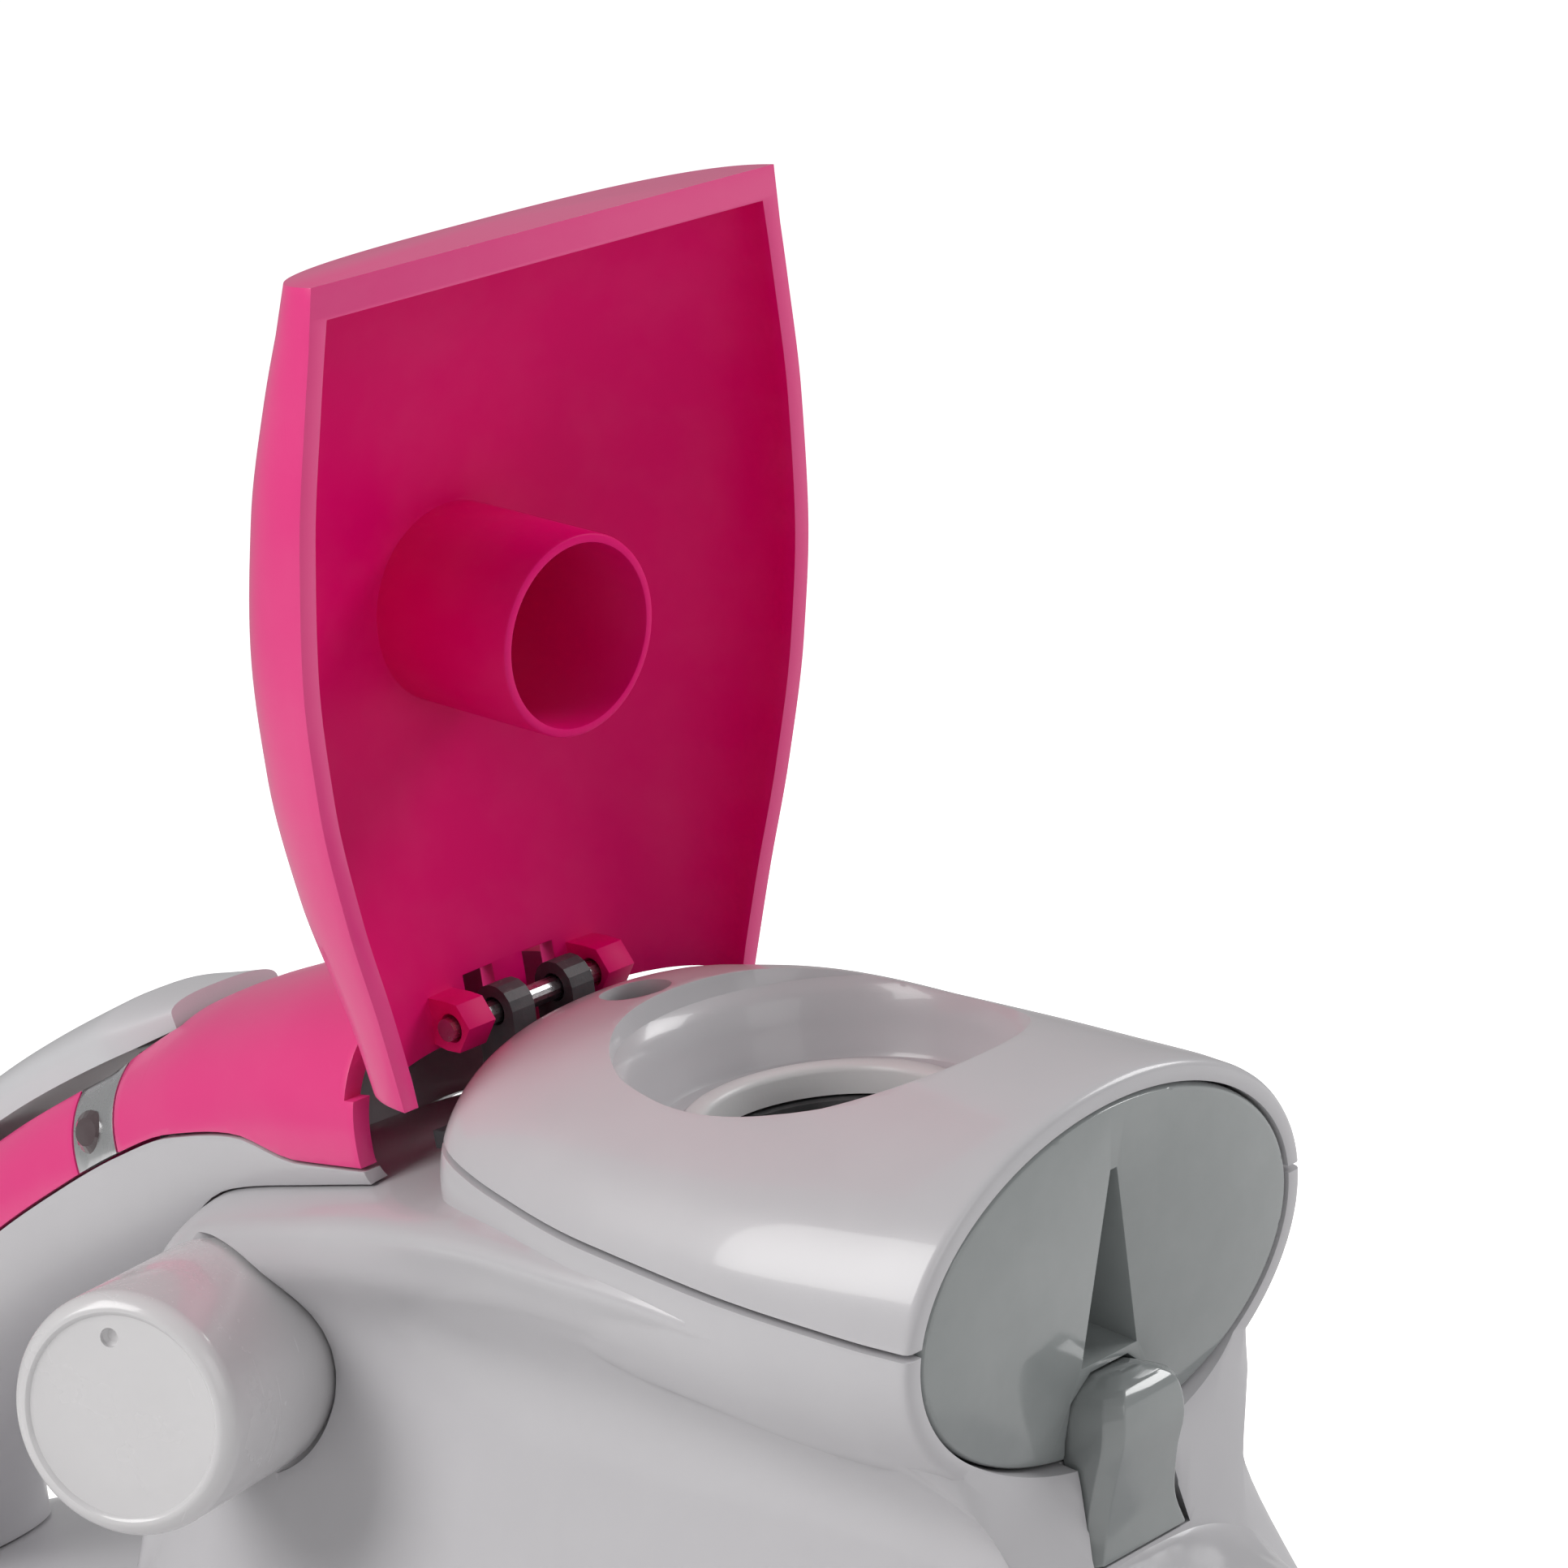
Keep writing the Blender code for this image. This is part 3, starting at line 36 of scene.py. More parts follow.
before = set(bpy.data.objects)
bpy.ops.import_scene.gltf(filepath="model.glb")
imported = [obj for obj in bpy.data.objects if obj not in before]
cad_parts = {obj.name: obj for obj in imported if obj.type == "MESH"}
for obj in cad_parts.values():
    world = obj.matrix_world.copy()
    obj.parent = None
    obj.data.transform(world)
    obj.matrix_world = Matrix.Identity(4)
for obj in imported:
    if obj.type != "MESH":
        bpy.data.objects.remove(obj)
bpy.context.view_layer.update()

MM = 0.001

# ---- landmarks, in millimetres in the row frame ----
HINGE = Vector((12.0, 0.0, 131.0))
NOSE_X = 150.0
HEEL_X = -150.0
LID_OPEN = 78.0
LID_CLOSED = -6.0
BODY_FOOT = 24.35
GAP = 0.35

# ---- lid ----
LID_HALF = ((-3.2, 27.2), (8.0, 30.2), (20.0, 33.8), (34.0, 36.8), (48.0, 38.0), (62.0, 37.4), (76.0, 35.6),
            (88.6, 33.6))
LID_CROWN = ((-3.2, 5.4), (4.0, 6.6), (10.0, 8.6), (20.0, 11.2), (34.0, 12.6), (48.0, 12.9), (62.0, 11.8),
             (74.0, 9.4), (84.0, 6.2), (88.6, 4.6))
LID_RIM_DROP = 7.7
LID_END = 86.8
LID_RAKE = 1.8
LID_FRONT_START = 82.0
LID_LIP_REACH = 84.9
LID_POWER = 2.7
PLUG_REACH = 43.7
PLUG_DROP = 9.4
LUG_SPACING = 10.8
LUG_HALF = 2.0
SHELL_WALL = 2.2

# ---- barrel: dome, lower shell and front ----
BARREL_TOP = ((17.0, 127.6), (18.6, 130.0), (21.5, 131.6), (27.0, 132.3), (34.0, 132.3), (55.0, 129.9),
              (75.0, 127.3), (91.0, 125.45))
BARREL_HALF = ((17.0, 21.5), (18.6, 24.0), (21.5, 26.4), (27.0, 28.8), (34.0, 30.8), (50.0, 33.6),
               (66.0, 34.0), (82.0, 32.6), (91.0, 31.3))
BARREL_LOW = ((17.0, 100.0), (50.0, 92.0), (78.0, 85.5), (91.0, 83.35))
SEAM = ((8.0, 124.6), (40.0, 118.0), (66.0, 112.2), (80.0, 109.0), (100.0, 104.6))
FACE = Vector((91.0, 0.0, 104.4))
FACE_TILT = 14.0
FACE_HALF_WIDTH = 28.8
FACE_HALF_HEIGHT = 19.2
RECESS_FLOOR = -7.3
VENT_REACH = 16.2
VENT_RADIUS = 4.0
SEAM_GAP = 0.6
DOME_LIFT = 0.25

# ---- body: position; flare height and share; scoop height, half; rib height, half; crown height, half; top
BODY_ROWS = (
    (-147.5, 30.0, 0.92, 36.0, 30.0, 40.0, 24.0, 42.5, 14.0, 43.0),
    (-140.0, 33.0, 0.86, 41.0, 37.0, 44.0, 29.0, 45.6, 16.0, 46.0),
    (-120.0, 34.0, 0.80, 43.0, 41.0, 46.0, 32.0, 47.5, 18.0, 48.0),
    (-90.0, 34.0, 0.78, 43.0, 42.0, 47.0, 33.0, 48.6, 18.0, 49.0),
    (-62.0, 36.0, 0.75, 45.0, 40.0, 49.0, 30.0, 51.5, 18.0, 52.0),
    (-52.0, 38.0, 0.70, 52.0, 34.0, 60.0, 24.0, 65.0, 14.0, 67.0),
    (-46.0, 40.0, 0.66, 62.0, 29.0, 80.0, 21.0, 88.0, 15.0, 91.0),
    (-38.0, 42.0, 0.62, 76.0, 25.5, 97.0, 24.5, 104.0, 18.0, 106.0),
    (-24.0, 44.0, 0.58, 86.0, 24.4, 105.0, 27.5, 111.5, 21.0, 113.0),
    (-8.0, 45.0, 0.55, 90.0, 24.0, 108.0, 29.0, 113.5, 23.5, 115.0),
    (10.0, 46.0, 0.52, 91.0, 24.0, 109.0, 30.0, 115.0, 25.5, 117.0),
    (28.0, 48.0, 0.52, 91.0, 24.2, 109.0, 32.0, 116.0, 30.0, 119.0),
    (48.0, 50.0, 0.54, 89.0, 24.0, 107.0, 33.0, 114.0, 31.0, 117.0),
    (66.0, 52.0, 0.58, 86.0, 22.6, 103.0, 32.0, 110.0, 31.0, 112.0),
    (80.0, 52.0, 0.60, 82.0, 20.6, 97.0, 29.0, 103.0, 28.0, 106.0),
    (87.5, 51.0, 0.62, 77.0, 19.0, 87.0, 22.0, 93.0, 20.0, 95.0),
    (89.0, 50.0, 0.64, 68.0, 18.5, 72.0, 14.0, 74.0, 8.0, 74.5),
    (98.0, 47.0, 0.66, 62.0, 19.0, 68.0, 12.0, 70.5, 6.5, 71.0),
    (112.0, 42.0, 0.70, 55.0, 17.5, 61.5, 10.5, 64.0, 5.5, 65.0),
    (126.0, 36.0, 0.75, 45.0, 13.5, 50.5, 8.5, 53.5, 4.5, 54.5),
    (137.0, 31.0, 0.80, 36.5, 9.0, 41.0, 6.0, 43.2, 3.2, 44.0),
    (144.0, 27.5, 0.86, 31.0, 5.4, 33.6, 3.6, 35.0, 2.0, 35.5),
    (148.4, 25.2, 0.92, 26.2, 2.2, 27.2, 1.5, 27.8, 0.8, 28.0),
)

# ---- handle: position, middle height, half width, height above and below the middle, lean ----
HANDLE_ROWS = (
    (4.0, 119.0, 22.5, 17.5, 10.0, 0.0),
    (-10.0, 118.5, 21.5, 17.0, 12.0, 4.0),
    (-28.0, 116.5, 19.5, 15.5, 13.5, 9.0),
    (-46.0, 111.5, 17.8, 15.0, 14.0, 16.0),
    (-66.0, 105.0, 16.8, 14.5, 14.0, 21.0),
    (-86.0, 96.0, 16.4, 14.2, 14.0, 27.0),
    (-104.0, 85.0, 16.6, 14.0, 14.0, 35.0),
    (-119.0, 72.0, 17.5, 14.0, 13.5, 46.0),
    (-130.0, 57.0, 19.5, 13.0, 13.0, 60.0),
    (-134.5, 44.0, 22.0, 12.0, 12.0, 74.0),
)
HANDLE_POWER = 2.3
COVER_LINE = ((20.0, 117.2), (-8.0, 117.0), (-20.0, 119.0), (-34.0, 117.6), (-46.0, 114.2), (-60.0, 108.8),
              (-78.0, 100.6), (-94.0, 91.0), (-108.0, 79.5), (-117.0, 69.0), (-122.0, 60.0))
FRONT_COVER = (4.0, -45.0)
BAND = (-45.0, -54.0)
REAR_COVER = (-54.0, -118.0)
LEVER_FRONT = -39.0
LEVER_REAR = -108.0
LEVER_HALF = 11.5
LEVER_THICK = 4.6
LEVER_SINK = 1.4
LEVER_FRONT_GAP = 1.6
RUN_GAP = 0.6
SWEEP = 60.0

# ---- sole: half width, and the shares of its length where it is widest and where the heel turns in ----
SOLE_HALF = 60.0
SOLE_WIDEST = 0.62
HEEL_SHARE = 0.10
SOLE_VENTS = ((28, 0), (46, 12), (66, 20), (90, 27), (118, 31), (150, 33), (66, 0), (104, 0))

# ---- temperature dial ----
DIAL_FACE = Vector((-10.5, -50.5, 97.4))
DIAL_AXIS = Vector((0.38, -0.92, 0.08)).normalized()


# ---- curves ----

def smooth_value(points, x):
    """Read a smooth curve through (x, value) points, held flat past its ends."""
    if x <= points[0][0]:
        return points[0][1]
    if x >= points[-1][0]:
        return points[-1][1]
    last = len(points) - 1
    k = max(i for i in range(last) if points[i][0] <= x)
    (x0, v0), (x1, v1) = points[k], points[k + 1]
    span = x1 - x0
    slope = (v1 - v0) / span
    before = (v0 - points[k - 1][1]) / (x0 - points[k - 1][0]) if k else slope
    after = (points[k + 2][1] - v1) / (points[k + 2][0] - x1) if k + 2 <= last else slope
    m0 = 0.0 if before * slope <= 0 else 2 * before * slope / (before + slope)
    m1 = 0.0 if after * slope <= 0 else 2 * after * slope / (after + slope)
    t = (x - x0) / span
    return (v0 * (1 + 2 * t) * (1 - t) ** 2 + m0 * span * t * (1 - t) ** 2
            + v1 * t * t * (3 - 2 * t) + m1 * span * t * t * (t - 1))


def column(rows, index, x):
    """One column of a table of sections, read at a position."""
    return smooth_value(sorted((row[0], row[index]) for row in rows), x)


def spread(start, end, count):
    return [start + (end - start) * k / (count - 1) for k in range(count)]


def eased(start, end, count):
    """Values that crowd towards both ends."""
    return [start + (end - start) * 0.5 * (1 - math.cos(math.pi * k / count)) for k in range(count + 1)]


def tilted(point, angle, reach, side, lift):
    """A point measured from `point` along, across and above a plane tilted nose-up by `angle`."""
    a = math.radians(angle)
    return Vector((point.x + reach * math.cos(a) - lift * math.sin(a), point.y + side,
                   point.z + reach * math.sin(a) + lift * math.cos(a)))


def lid_point(reach, side, lift):
    return tilted(HINGE, LID_OPEN, reach, side, lift)


def deck_point(reach, side, lift):
    return tilted(HINGE, LID_CLOSED, reach, side, lift)


def squarish(angle, power):
    """Cosine and sine of an angle on a rounded square instead of a circle."""
    c, s = math.cos(angle), math.sin(angle)
    return (math.copysign(abs(c) ** (2 / power), c), math.copysign(abs(s) ** (2 / power), s))


def sole_half(x):
    """Half width of the soleplate: an ogive nose, full width past the middle, rounded heel."""
    back = min(max((NOSE_X - x) / (NOSE_X - HEEL_X), 0.0), 1.0)
    if back < SOLE_WIDEST:
        return SOLE_HALF * math.sin(math.pi / 2 * back / SOLE_WIDEST) ** 0.72
    narrow = SOLE_HALF * (1 - 0.13 * ((back - SOLE_WIDEST) / (1 - SOLE_WIDEST)) ** 2)
    if back <= 1 - HEEL_SHARE:
        return narrow
    return narrow * max(1 - ((back - (1 - HEEL_SHARE)) / HEEL_SHARE) ** 2.6, 0.0) ** 0.5


# ---- modelling steps ----

def deselect():
    if bpy.context.object and bpy.context.object.mode != "OBJECT":
        bpy.ops.object.mode_set(mode="OBJECT")
    bpy.ops.object.select_all(action="DESELECT")


def pick(obj):
    deselect()
    obj.select_set(True)
    bpy.context.view_layer.objects.active = obj


def shaped(name, rows, ring=True):
    """A grid with a row of vertices for each section, drawn out to them; seams and poles are merged."""
    deselect()
    across = len(rows[0]) - (0 if ring else 1)
    bpy.ops.mesh.primitive_grid_add(x_subdivisions=across, y_subdivisions=len(rows) - 1, size=1.0)
    obj = bpy.context.object
    obj.name = name
    obj.data.name = name
    places = []
    for row in rows:
        for p in list(row) + ([row[0]] if ring else []):
            places += [p[0] * MM, p[1] * MM, p[2] * MM]
    obj.data.vertices.foreach_set("co", places)
    bpy.ops.object.mode_set(mode="EDIT")
    bpy.ops.mesh.select_all(action="SELECT")
    bpy.ops.mesh.remove_doubles(threshold=2e-6)
    bpy.ops.mesh.normals_make_consistent(inside=False)
    bpy.ops.object.mode_set(mode="OBJECT")
    return obj


def solid(name, rows):
    """A solid from closed sections, with a pole at each end."""
    def middle(row):
        total = Vector((0, 0, 0))
        for p in row:
            total += Vector(p)
        return [total / len(row)] * len(row)
    return shaped(name, [middle(rows[0])] + list(rows) + [middle(rows[-1])])


def apply_modifier(obj, modifier):
    pick(obj)
    bpy.ops.object.modifier_apply(modifier=modifier.name)
    return obj


def weld(obj, distance=0.02):
    """Merge the near-doubles that cutting leaves."""
    pick(obj)
    bpy.ops.object.mode_set(mode="EDIT")
    bpy.ops.mesh.select_all(action="SELECT")
    bpy.ops.mesh.remove_doubles(threshold=distance * MM)
    bpy.ops.mesh.dissolve_degenerate(threshold=distance * MM)
    bpy.ops.object.mode_set(mode="OBJECT")
    return obj


def bevelled(obj, width, angle, segments):
    """Round the edges sharper than an angle; the width is in metres."""
    m = obj.modifiers.new("edges", "BEVEL")
    m.width = width
    m.segments = segments
    m.limit_method = "ANGLE"
    m.angle_limit = math.radians(angle)
    return apply_modifier(obj, m)


def cut(obj, tool, operation="DIFFERENCE"):
    """Cut a tool out of a piece, or join or keep what they share; the tool is used up."""
    m = obj.modifiers.new("cut", "BOOLEAN")
    m.operation = operation
    m.solver = "EXACT"
    m.object = tool
    apply_modifier(obj, m)
    bpy.data.objects.remove(tool)
    return obj


def smooth(obj, angle=32.0):
    pick(obj)
    bpy.ops.object.shade_smooth_by_angle(angle=math.radians(angle))
    return obj


def finished(obj, rounding, edge_angle=40.0):
    """A moulded piece after its cuts: welded, its edges rounded, its faces shaded smooth."""
    return smooth(bevelled(weld(obj), rounding, edge_angle, 2), 30)


def axis_frame(direction):
    """Two directions square to an axis and to each other."""
    d = Vector(direction).normalized()
    helper = Vector((0, 0, 1)) if abs(d.z) < 0.9 else Vector((1, 0, 0))
    across = d.cross(helper).normalized()
    return across, d.cross(across).normalized()


def circle(centre, direction, radius, count):
    across, other = axis_frame(direction)
    return [Vector(centre) + radius * (math.cos(a) * across + math.sin(a) * other)
            for a in spread(0.0, 2 * math.pi * (count - 1) / count, count)]


def turned(name, start, direction, profile, count=96):
    """A turned solid from (radius, distance) points; its first and last points lie on the axis."""
    d = Vector(direction).normalized()
    rows = [circle(Vector(start) + d * h, d, max(r, 0.0), count) for r, h in profile]
    return shaped(name, rows)


def turned_ring(name, start, direction, profile, count=96):
    """A turned ring from a closed line of (radius, distance) points."""
    return turned(name, start, direction, list(profile) + [profile[0]], count)


def drill(obj, start, direction, radius, length, count=48):
    return cut(obj, turned("drill", start, direction, ((0, 0), (radius, 0), (radius, length), (0, length)), count))


def slab(name, outline, left, right):
    """A straight-sided block from an outline of (x, z) points, across the iron."""
    return solid(name, [[(x, y, z) for x, z in outline] for y in (left, right)])


def part(obj, body, slot, finish, *nodes):
    """Give a piece its finish and the body it moves with, and hide the nodes it stands for."""
    obj.data.materials.clear()
    obj.data.materials.append(FINISHES[finish])
    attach(obj, body)
    if nodes:
        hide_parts(*nodes)
    return obj


# ---- shared effects for the finishes ----

class Wiring:
    """Adds and joins the nodes of one material or effect."""

    def __init__(self, tree):
        self.tree = tree

    def add(self, kind, inputs=None, **settings):
        node = self.tree.nodes.new(kind)
        for name, value in settings.items():
            setattr(node, name, value)
        self.feed(node, inputs or {})
        return node

    def feed(self, node, inputs):
        """Join a socket to each named input, or set its value."""
        for name, value in inputs.items():
            if isinstance(value, bpy.types.NodeSocket):
                self.tree.links.new(value, node.inputs[name])
            else:
                node.inputs[name].default_value = value

    def math(self, operation, one, two=0.0, clamp=False):
        return self.add("ShaderNodeMath", {0: one, 1: two}, operation=operation, use_clamp=clamp).outputs[0]

    def mix(self, factor, one, two, blend="MIX"):
        node = self.add("ShaderNodeMix", data_type="RGBA", blend_type=blend)
        self.feed(node, {0: factor, 6: one, 7: two})
        return node.outputs[2]

    def noise(self, place, scale, detail=3.0, rough=0.55):
        return self.add("ShaderNodeTexNoise", {"Vector": place, "Scale": scale, "Detail": detail,
                                               "Roughness": rough}).outputs["Fac"]

    def ramp(self, value, low, high, to_low=0.0, to_high=1.0):
        return self.add("ShaderNodeMapRange", {"Value": value, "From Min": low, "From Max": high,
                                               "To Min": to_low, "To Max": to_high}).outputs["Result"]


def effect(name, inputs):
    """A new shared effect with its own inputs, that gives a colour, a roughness and a normal."""
    number, vector, colour = "NodeSocketFloat", "NodeSocketVector", "NodeSocketColor"
    tree = bpy.data.node_groups.new(name, "ShaderNodeTree")
    for label, value in inputs.items():
        kind = number if isinstance(value, float) else {3: vector, 4: colour}[len(value)]
        tree.interface.new_socket(label, in_out="INPUT", socket_type=kind).default_value = value
    for label, kind in (("Color", colour), ("Roughness", number), ("Normal", vector)):
        tree.interface.new_socket(label, in_out="OUTPUT", socket_type=kind)
    wiring = Wiring(tree)
    return wiring, wiring.add("NodeGroupInput").outputs, wiring.add("NodeGroupOutput")


def moulded_effect():
    """Moulded plastic: slow drift of tone, fine texture of the tool, hair scratches and settled dust."""
    w, given, sink = effect("moulded_plastic", {"Tone": (0.5, 0.5, 0.5, 1.0), "Drift": 0.06, "Roughness": 0.3,
                                                "Texture": 0.2, "Scratches": 0.3, "Dust": 0.2})
    place = w.add("ShaderNodeTexCoord").outputs["Object"]
    flow = w.noise(place, 22.0, 2.0)
    cloud = w.noise(place, 90.0, 4.0)
    grain = w.noise(place, 2600.0, 2.0)
    hair = 0.0
    for turn, stretch, rare in (((0.3, 0.9, 0.4), (30.0, 900.0, 60.0), 0.66),
                                ((1.1, 0.2, 1.3), (700.0, 25.0, 50.0), 0.68)):
        laid = w.add("ShaderNodeMapping", {"Vector": place, "Rotation": turn, "Scale": stretch}).outputs[0]
        hair = w.math("MAXIMUM", w.ramp(w.noise(laid, 1.0, 2.0, 0.7), rare, rare + 0.08), hair)
    hair = w.math("MULTIPLY", hair, given["Scratches"])
    facing = w.add("ShaderNodeNewGeometry").outputs["Normal"]
    up = w.add("ShaderNodeSeparateXYZ", {"Vector": facing}).outputs["Z"]
    speck = w.ramp(w.noise(place, 900.0, 3.0, 0.7), 0.60, 0.72)
    dust = w.math("MULTIPLY", w.math("MULTIPLY", speck, w.ramp(up, 0.2, 1.0)), given["Dust"])
    lighter = w.mix(0.5, given["Tone"], (1.0, 1.0, 1.0, 1.0))
    darker = w.mix(1.0, given["Tone"], (0.72, 0.72, 0.72, 1.0), "MULTIPLY")
    tone = w.mix(w.math("MULTIPLY", w.ramp(flow, 0.35, 0.65), given["Drift"]), given["Tone"], darker)
    tone = w.mix(w.math("MULTIPLY", w.ramp(cloud, 0.4, 0.7), w.math("MULTIPLY", given["Drift"], 0.5)), tone,
                 lighter)
    tone = w.mix(w.math("MULTIPLY", dust, 0.35), tone, (0.62, 0.60, 0.57, 1.0))
    rough = w.math("ADD", given["Roughness"], w.math("MULTIPLY", w.math("SUBTRACT", cloud, 0.5), 0.10))
    rough = w.math("ADD", rough, w.math("MULTIPLY", hair, 0.10))
    rough = w.math("ADD", rough, w.math("MULTIPLY", dust, 0.25), clamp=True)
    height = w.math("ADD", w.math("MULTIPLY", grain, given["Texture"]), w.math("MULTIPLY", flow, 1.2))
    height = w.math("SUBTRACT", height, w.math("MULTIPLY", hair, 0.4))
    bump = w.add("ShaderNodeBump", {"Height": height, "Strength": 0.16, "Distance": 0.0002})
    w.feed(sink, {"Color": tone, "Roughness": rough, "Normal": bump.outputs[0]})
    return w.tree


def worked_metal_effect():
    """Metal with a drawn or turned lay: streaks along one direction, stains and pits."""
    w, given, sink = effect("worked_metal", {"Tone": (0.6, 0.6, 0.6, 1.0), "Stain": (0.3, 0.28, 0.25, 1.0),
                                             "Stained": 0.2, "Roughness": 0.3, "Lay": (8.0, 1400.0, 1400.0),
                                             "Depth": 0.5})
    place = w.add("ShaderNodeTexCoord").outputs["Object"]
    lay = w.add("ShaderNodeVectorMath", {0: place, 1: given["Lay"]}, operation="MULTIPLY").outputs[0]
    streak = w.noise(lay, 1.0, 4.0, 0.65)
    cloud = w.noise(place, 55.0, 4.0, 0.6)
    pits = w.ramp(w.noise(place, 1500.0, 2.0, 0.6), 0.66, 0.74)
    stain = w.math("MULTIPLY", w.ramp(cloud, 0.45, 0.75), given["Stained"])
    tone = w.mix(w.ramp(streak, 0.3, 0.7, 0.0, 0.22), given["Tone"],
                 w.mix(1.0, given["Tone"], (0.6, 0.6, 0.6, 1.0), "MULTIPLY"))
    tone = w.mix(w.math("ADD", stain, w.math("MULTIPLY", pits, 0.25), clamp=True), tone, given["Stain"])
    rough = w.math("ADD", given["Roughness"], w.math("MULTIPLY", w.math("SUBTRACT", streak, 0.5), 0.3))
    rough = w.math("ADD", rough, w.math("MULTIPLY", stain, 0.3), clamp=True)
    height = w.math("SUBTRACT", w.math("MULTIPLY", streak, given["Depth"]), w.math("MULTIPLY", pits, 0.5))
    bump = w.add("ShaderNodeBump", {"Height": height, "Strength": 0.25, "Distance": 0.0002})
    w.feed(sink, {"Color": tone, "Roughness": rough, "Normal": bump.outputs[0]})
    return w.tree


def finish_from(name, effect_tree, values, **shader_values):
    """A finish whose colour, roughness and normal come from a shared effect."""
    material = bpy.data.materials.new(name)
    material.use_nodes = True
    w = Wiring(material.node_tree)
    shader = material.node_tree.nodes["Principled BSDF"]
    source = w.add("ShaderNodeGroup", values, node_tree=effect_tree)
    w.feed(shader, {"Base Color": source.outputs["Color"], "Roughness": source.outputs["Roughness"],
                    "Normal": source.outputs["Normal"]})
    w.feed(shader, {label.replace("_", " "): value for label, value in shader_values.items()})
    material.diffuse_color = tuple(values["Tone"])
    return material


def plastic(name, tone, roughness, drift=0.08, texture=0.25, scratches=0.3, dust=0.15, coat=0.0, specular=0.5):
    return finish_from(name, moulded, {"Tone": (*tone, 1.0), "Roughness": roughness, "Drift": drift,
                                       "Texture": texture, "Scratches": scratches, "Dust": dust},
                       Coat_Weight=coat, Coat_Roughness=0.06, Specular_IOR_Level=specular)


def metal(name, tone, roughness, lay, depth=0.5, stain=(0.3, 0.28, 0.25), stained=0.15):
    return finish_from(name, worked, {"Tone": (*tone, 1.0), "Roughness": roughness, "Lay": lay, "Depth": depth,
                                      "Stain": (*stain, 1.0), "Stained": stained}, Metallic=1.0)


moulded = moulded_effect()
worked = worked_metal_effect()


def make_finishes(colours):
    """Every finish on the iron, by its plain name; the lid's inside has a darker pink that is painted shade."""
    pink, grey = tuple(colours.pink)[:3], tuple(colours.body_grey)[:3]
    return {
        "pink": plastic("pink_gloss", pink, 0.34, 0.05, 0.12, 0.25, 0.08, coat=0.3),
        # The lid's inside: a darker, deeper pink than the outside is painted shade; its higher roughness and low
        # specular are the satin inside.
        "pink_painted_shade": plastic("pink_lid_painted_shade", tuple(colours.pink_inside_shade)[:3], 0.46, 0.05, 0.25, 0.15, 0.05,
                              specular=0.12),
        "grey": plastic("body_grey", grey, 0.30, 0.10, 0.15, 0.3, 0.2, coat=0.35),
        "lever": plastic("lever_satin", (0.60, 0.60, 0.62), 0.32, 0.08, 0.3, 0.3, 0.2, coat=0.2),
        "collar": plastic("collar_satin", (0.66, 0.66, 0.66), 0.36, 0.08, 0.3, 0.2, 0.15),
        "dial": plastic("dial_gloss", (0.66, 0.65, 0.66), 0.26, 0.08, 0.2, 0.3, 0.2, coat=0.4),
        "smoke": plastic("smoky_window", tuple(colours.window)[:3], 0.16, 0.14, 0.05, 0.35, 0.1, coat=0.8),
        "tank": plastic("tank_smoke", (0.30, 0.33, 0.34), 0.20, 0.15, 0.1, 0.2, 0.1, coat=0.3),
        "dark": plastic("dark_moulding", (0.045, 0.045, 0.05), 0.5, 0.25, 0.6, 0.3, 0.35),
        "shield": plastic("shield_moulding", (0.20, 0.20, 0.21), 0.46, 0.2, 0.6, 0.3, 0.3),
        "rubber": plastic("soft_rubber", (0.022, 0.022, 0.024), 0.62, 0.3, 0.9, 0.1, 0.5),
        "board": plastic("board_lacquer", (0.02, 0.13, 0.055), 0.32, 0.35, 0.6, 0.2, 0.2, coat=0.3),
        "lamp": plastic("lamp_lens", (0.07, 0.045, 0.05), 0.14, 0.2, 0.05, 0.1, 0.1, coat=0.9),
        "silver": metal("plated_silver", (0.78, 0.79, 0.80), 0.26, (300.0, 300.0, 30.0), 0.15, stained=0.08),
        "steel": metal("brushed_steel", (0.60, 0.60, 0.61), 0.30, (8.0, 1600.0, 1600.0), 0.6),
        "sole": metal("sole_steel", (0.64, 0.65, 0.66), 0.24, (6.0, 1500.0, 60.0), 0.45,
                      (0.26, 0.20, 0.14), 0.28),
        "aluminium": metal("cast_aluminium", (0.62, 0.63, 0.64), 0.48, (700.0, 700.0, 700.0), 1.0),
        "brass": metal("turned_brass", (0.70, 0.50, 0.22), 0.30, (60.0, 60.0, 1500.0), 0.5,
                       (0.25, 0.16, 0.07), 0.3),
    }


CARRIED_FINISHES = {
    "aluminium": ("chamber_cover", "steam_casting"),
    "board": ("control_board",),
    "brass": ("drip_valve", "thermostat"),
    "dark": ("hinge_bracket", "pump_body", "pump_plunger", "rotary_switch", "terminal_block"),
    "lamp": ("status_lamp",),
    "rubber": ("cord_gland", "filler_seal", "piston_seal"),
    "silver": ("spray_nozzle",),
    "steel": ("dial_shaft", "heating_element", "heel_screw_left", "heel_screw_right", "hinge_pin", "lever_pin",
              "return_spring"),
    "tank": ("water_tank",),
}


# ---- lid ----

def lid_section(reach, inset, skirt=0.0, steps=72):
    """An arched section of the lid, rim to rim; `skirt` carries its sides on below the rim."""
    half = smooth_value(LID_HALF, reach) - inset
    crown = smooth_value(LID_CROWN, reach) - inset
    rake = 0.0 if inset else LID_RAKE * max(reach - LID_FRONT_START, 0.0) / (LID_END - LID_FRONT_START)
    points = []
    for k in range(steps + 1):
        c, s = squarish(math.pi * k / steps, LID_POWER)
        lift = -LID_RIM_DROP + (crown + LID_RIM_DROP) * s
        share = (crown - lift) / (crown + LID_RIM_DROP)
        points.append((reach + rake * share, half * c, lift))
    if skirt:
        low = -LID_RIM_DROP - skirt
        points = [(*points[0][:2], low)] + points + [(*points[-1][:2], low)]
    return [lid_point(*p) for p in points]


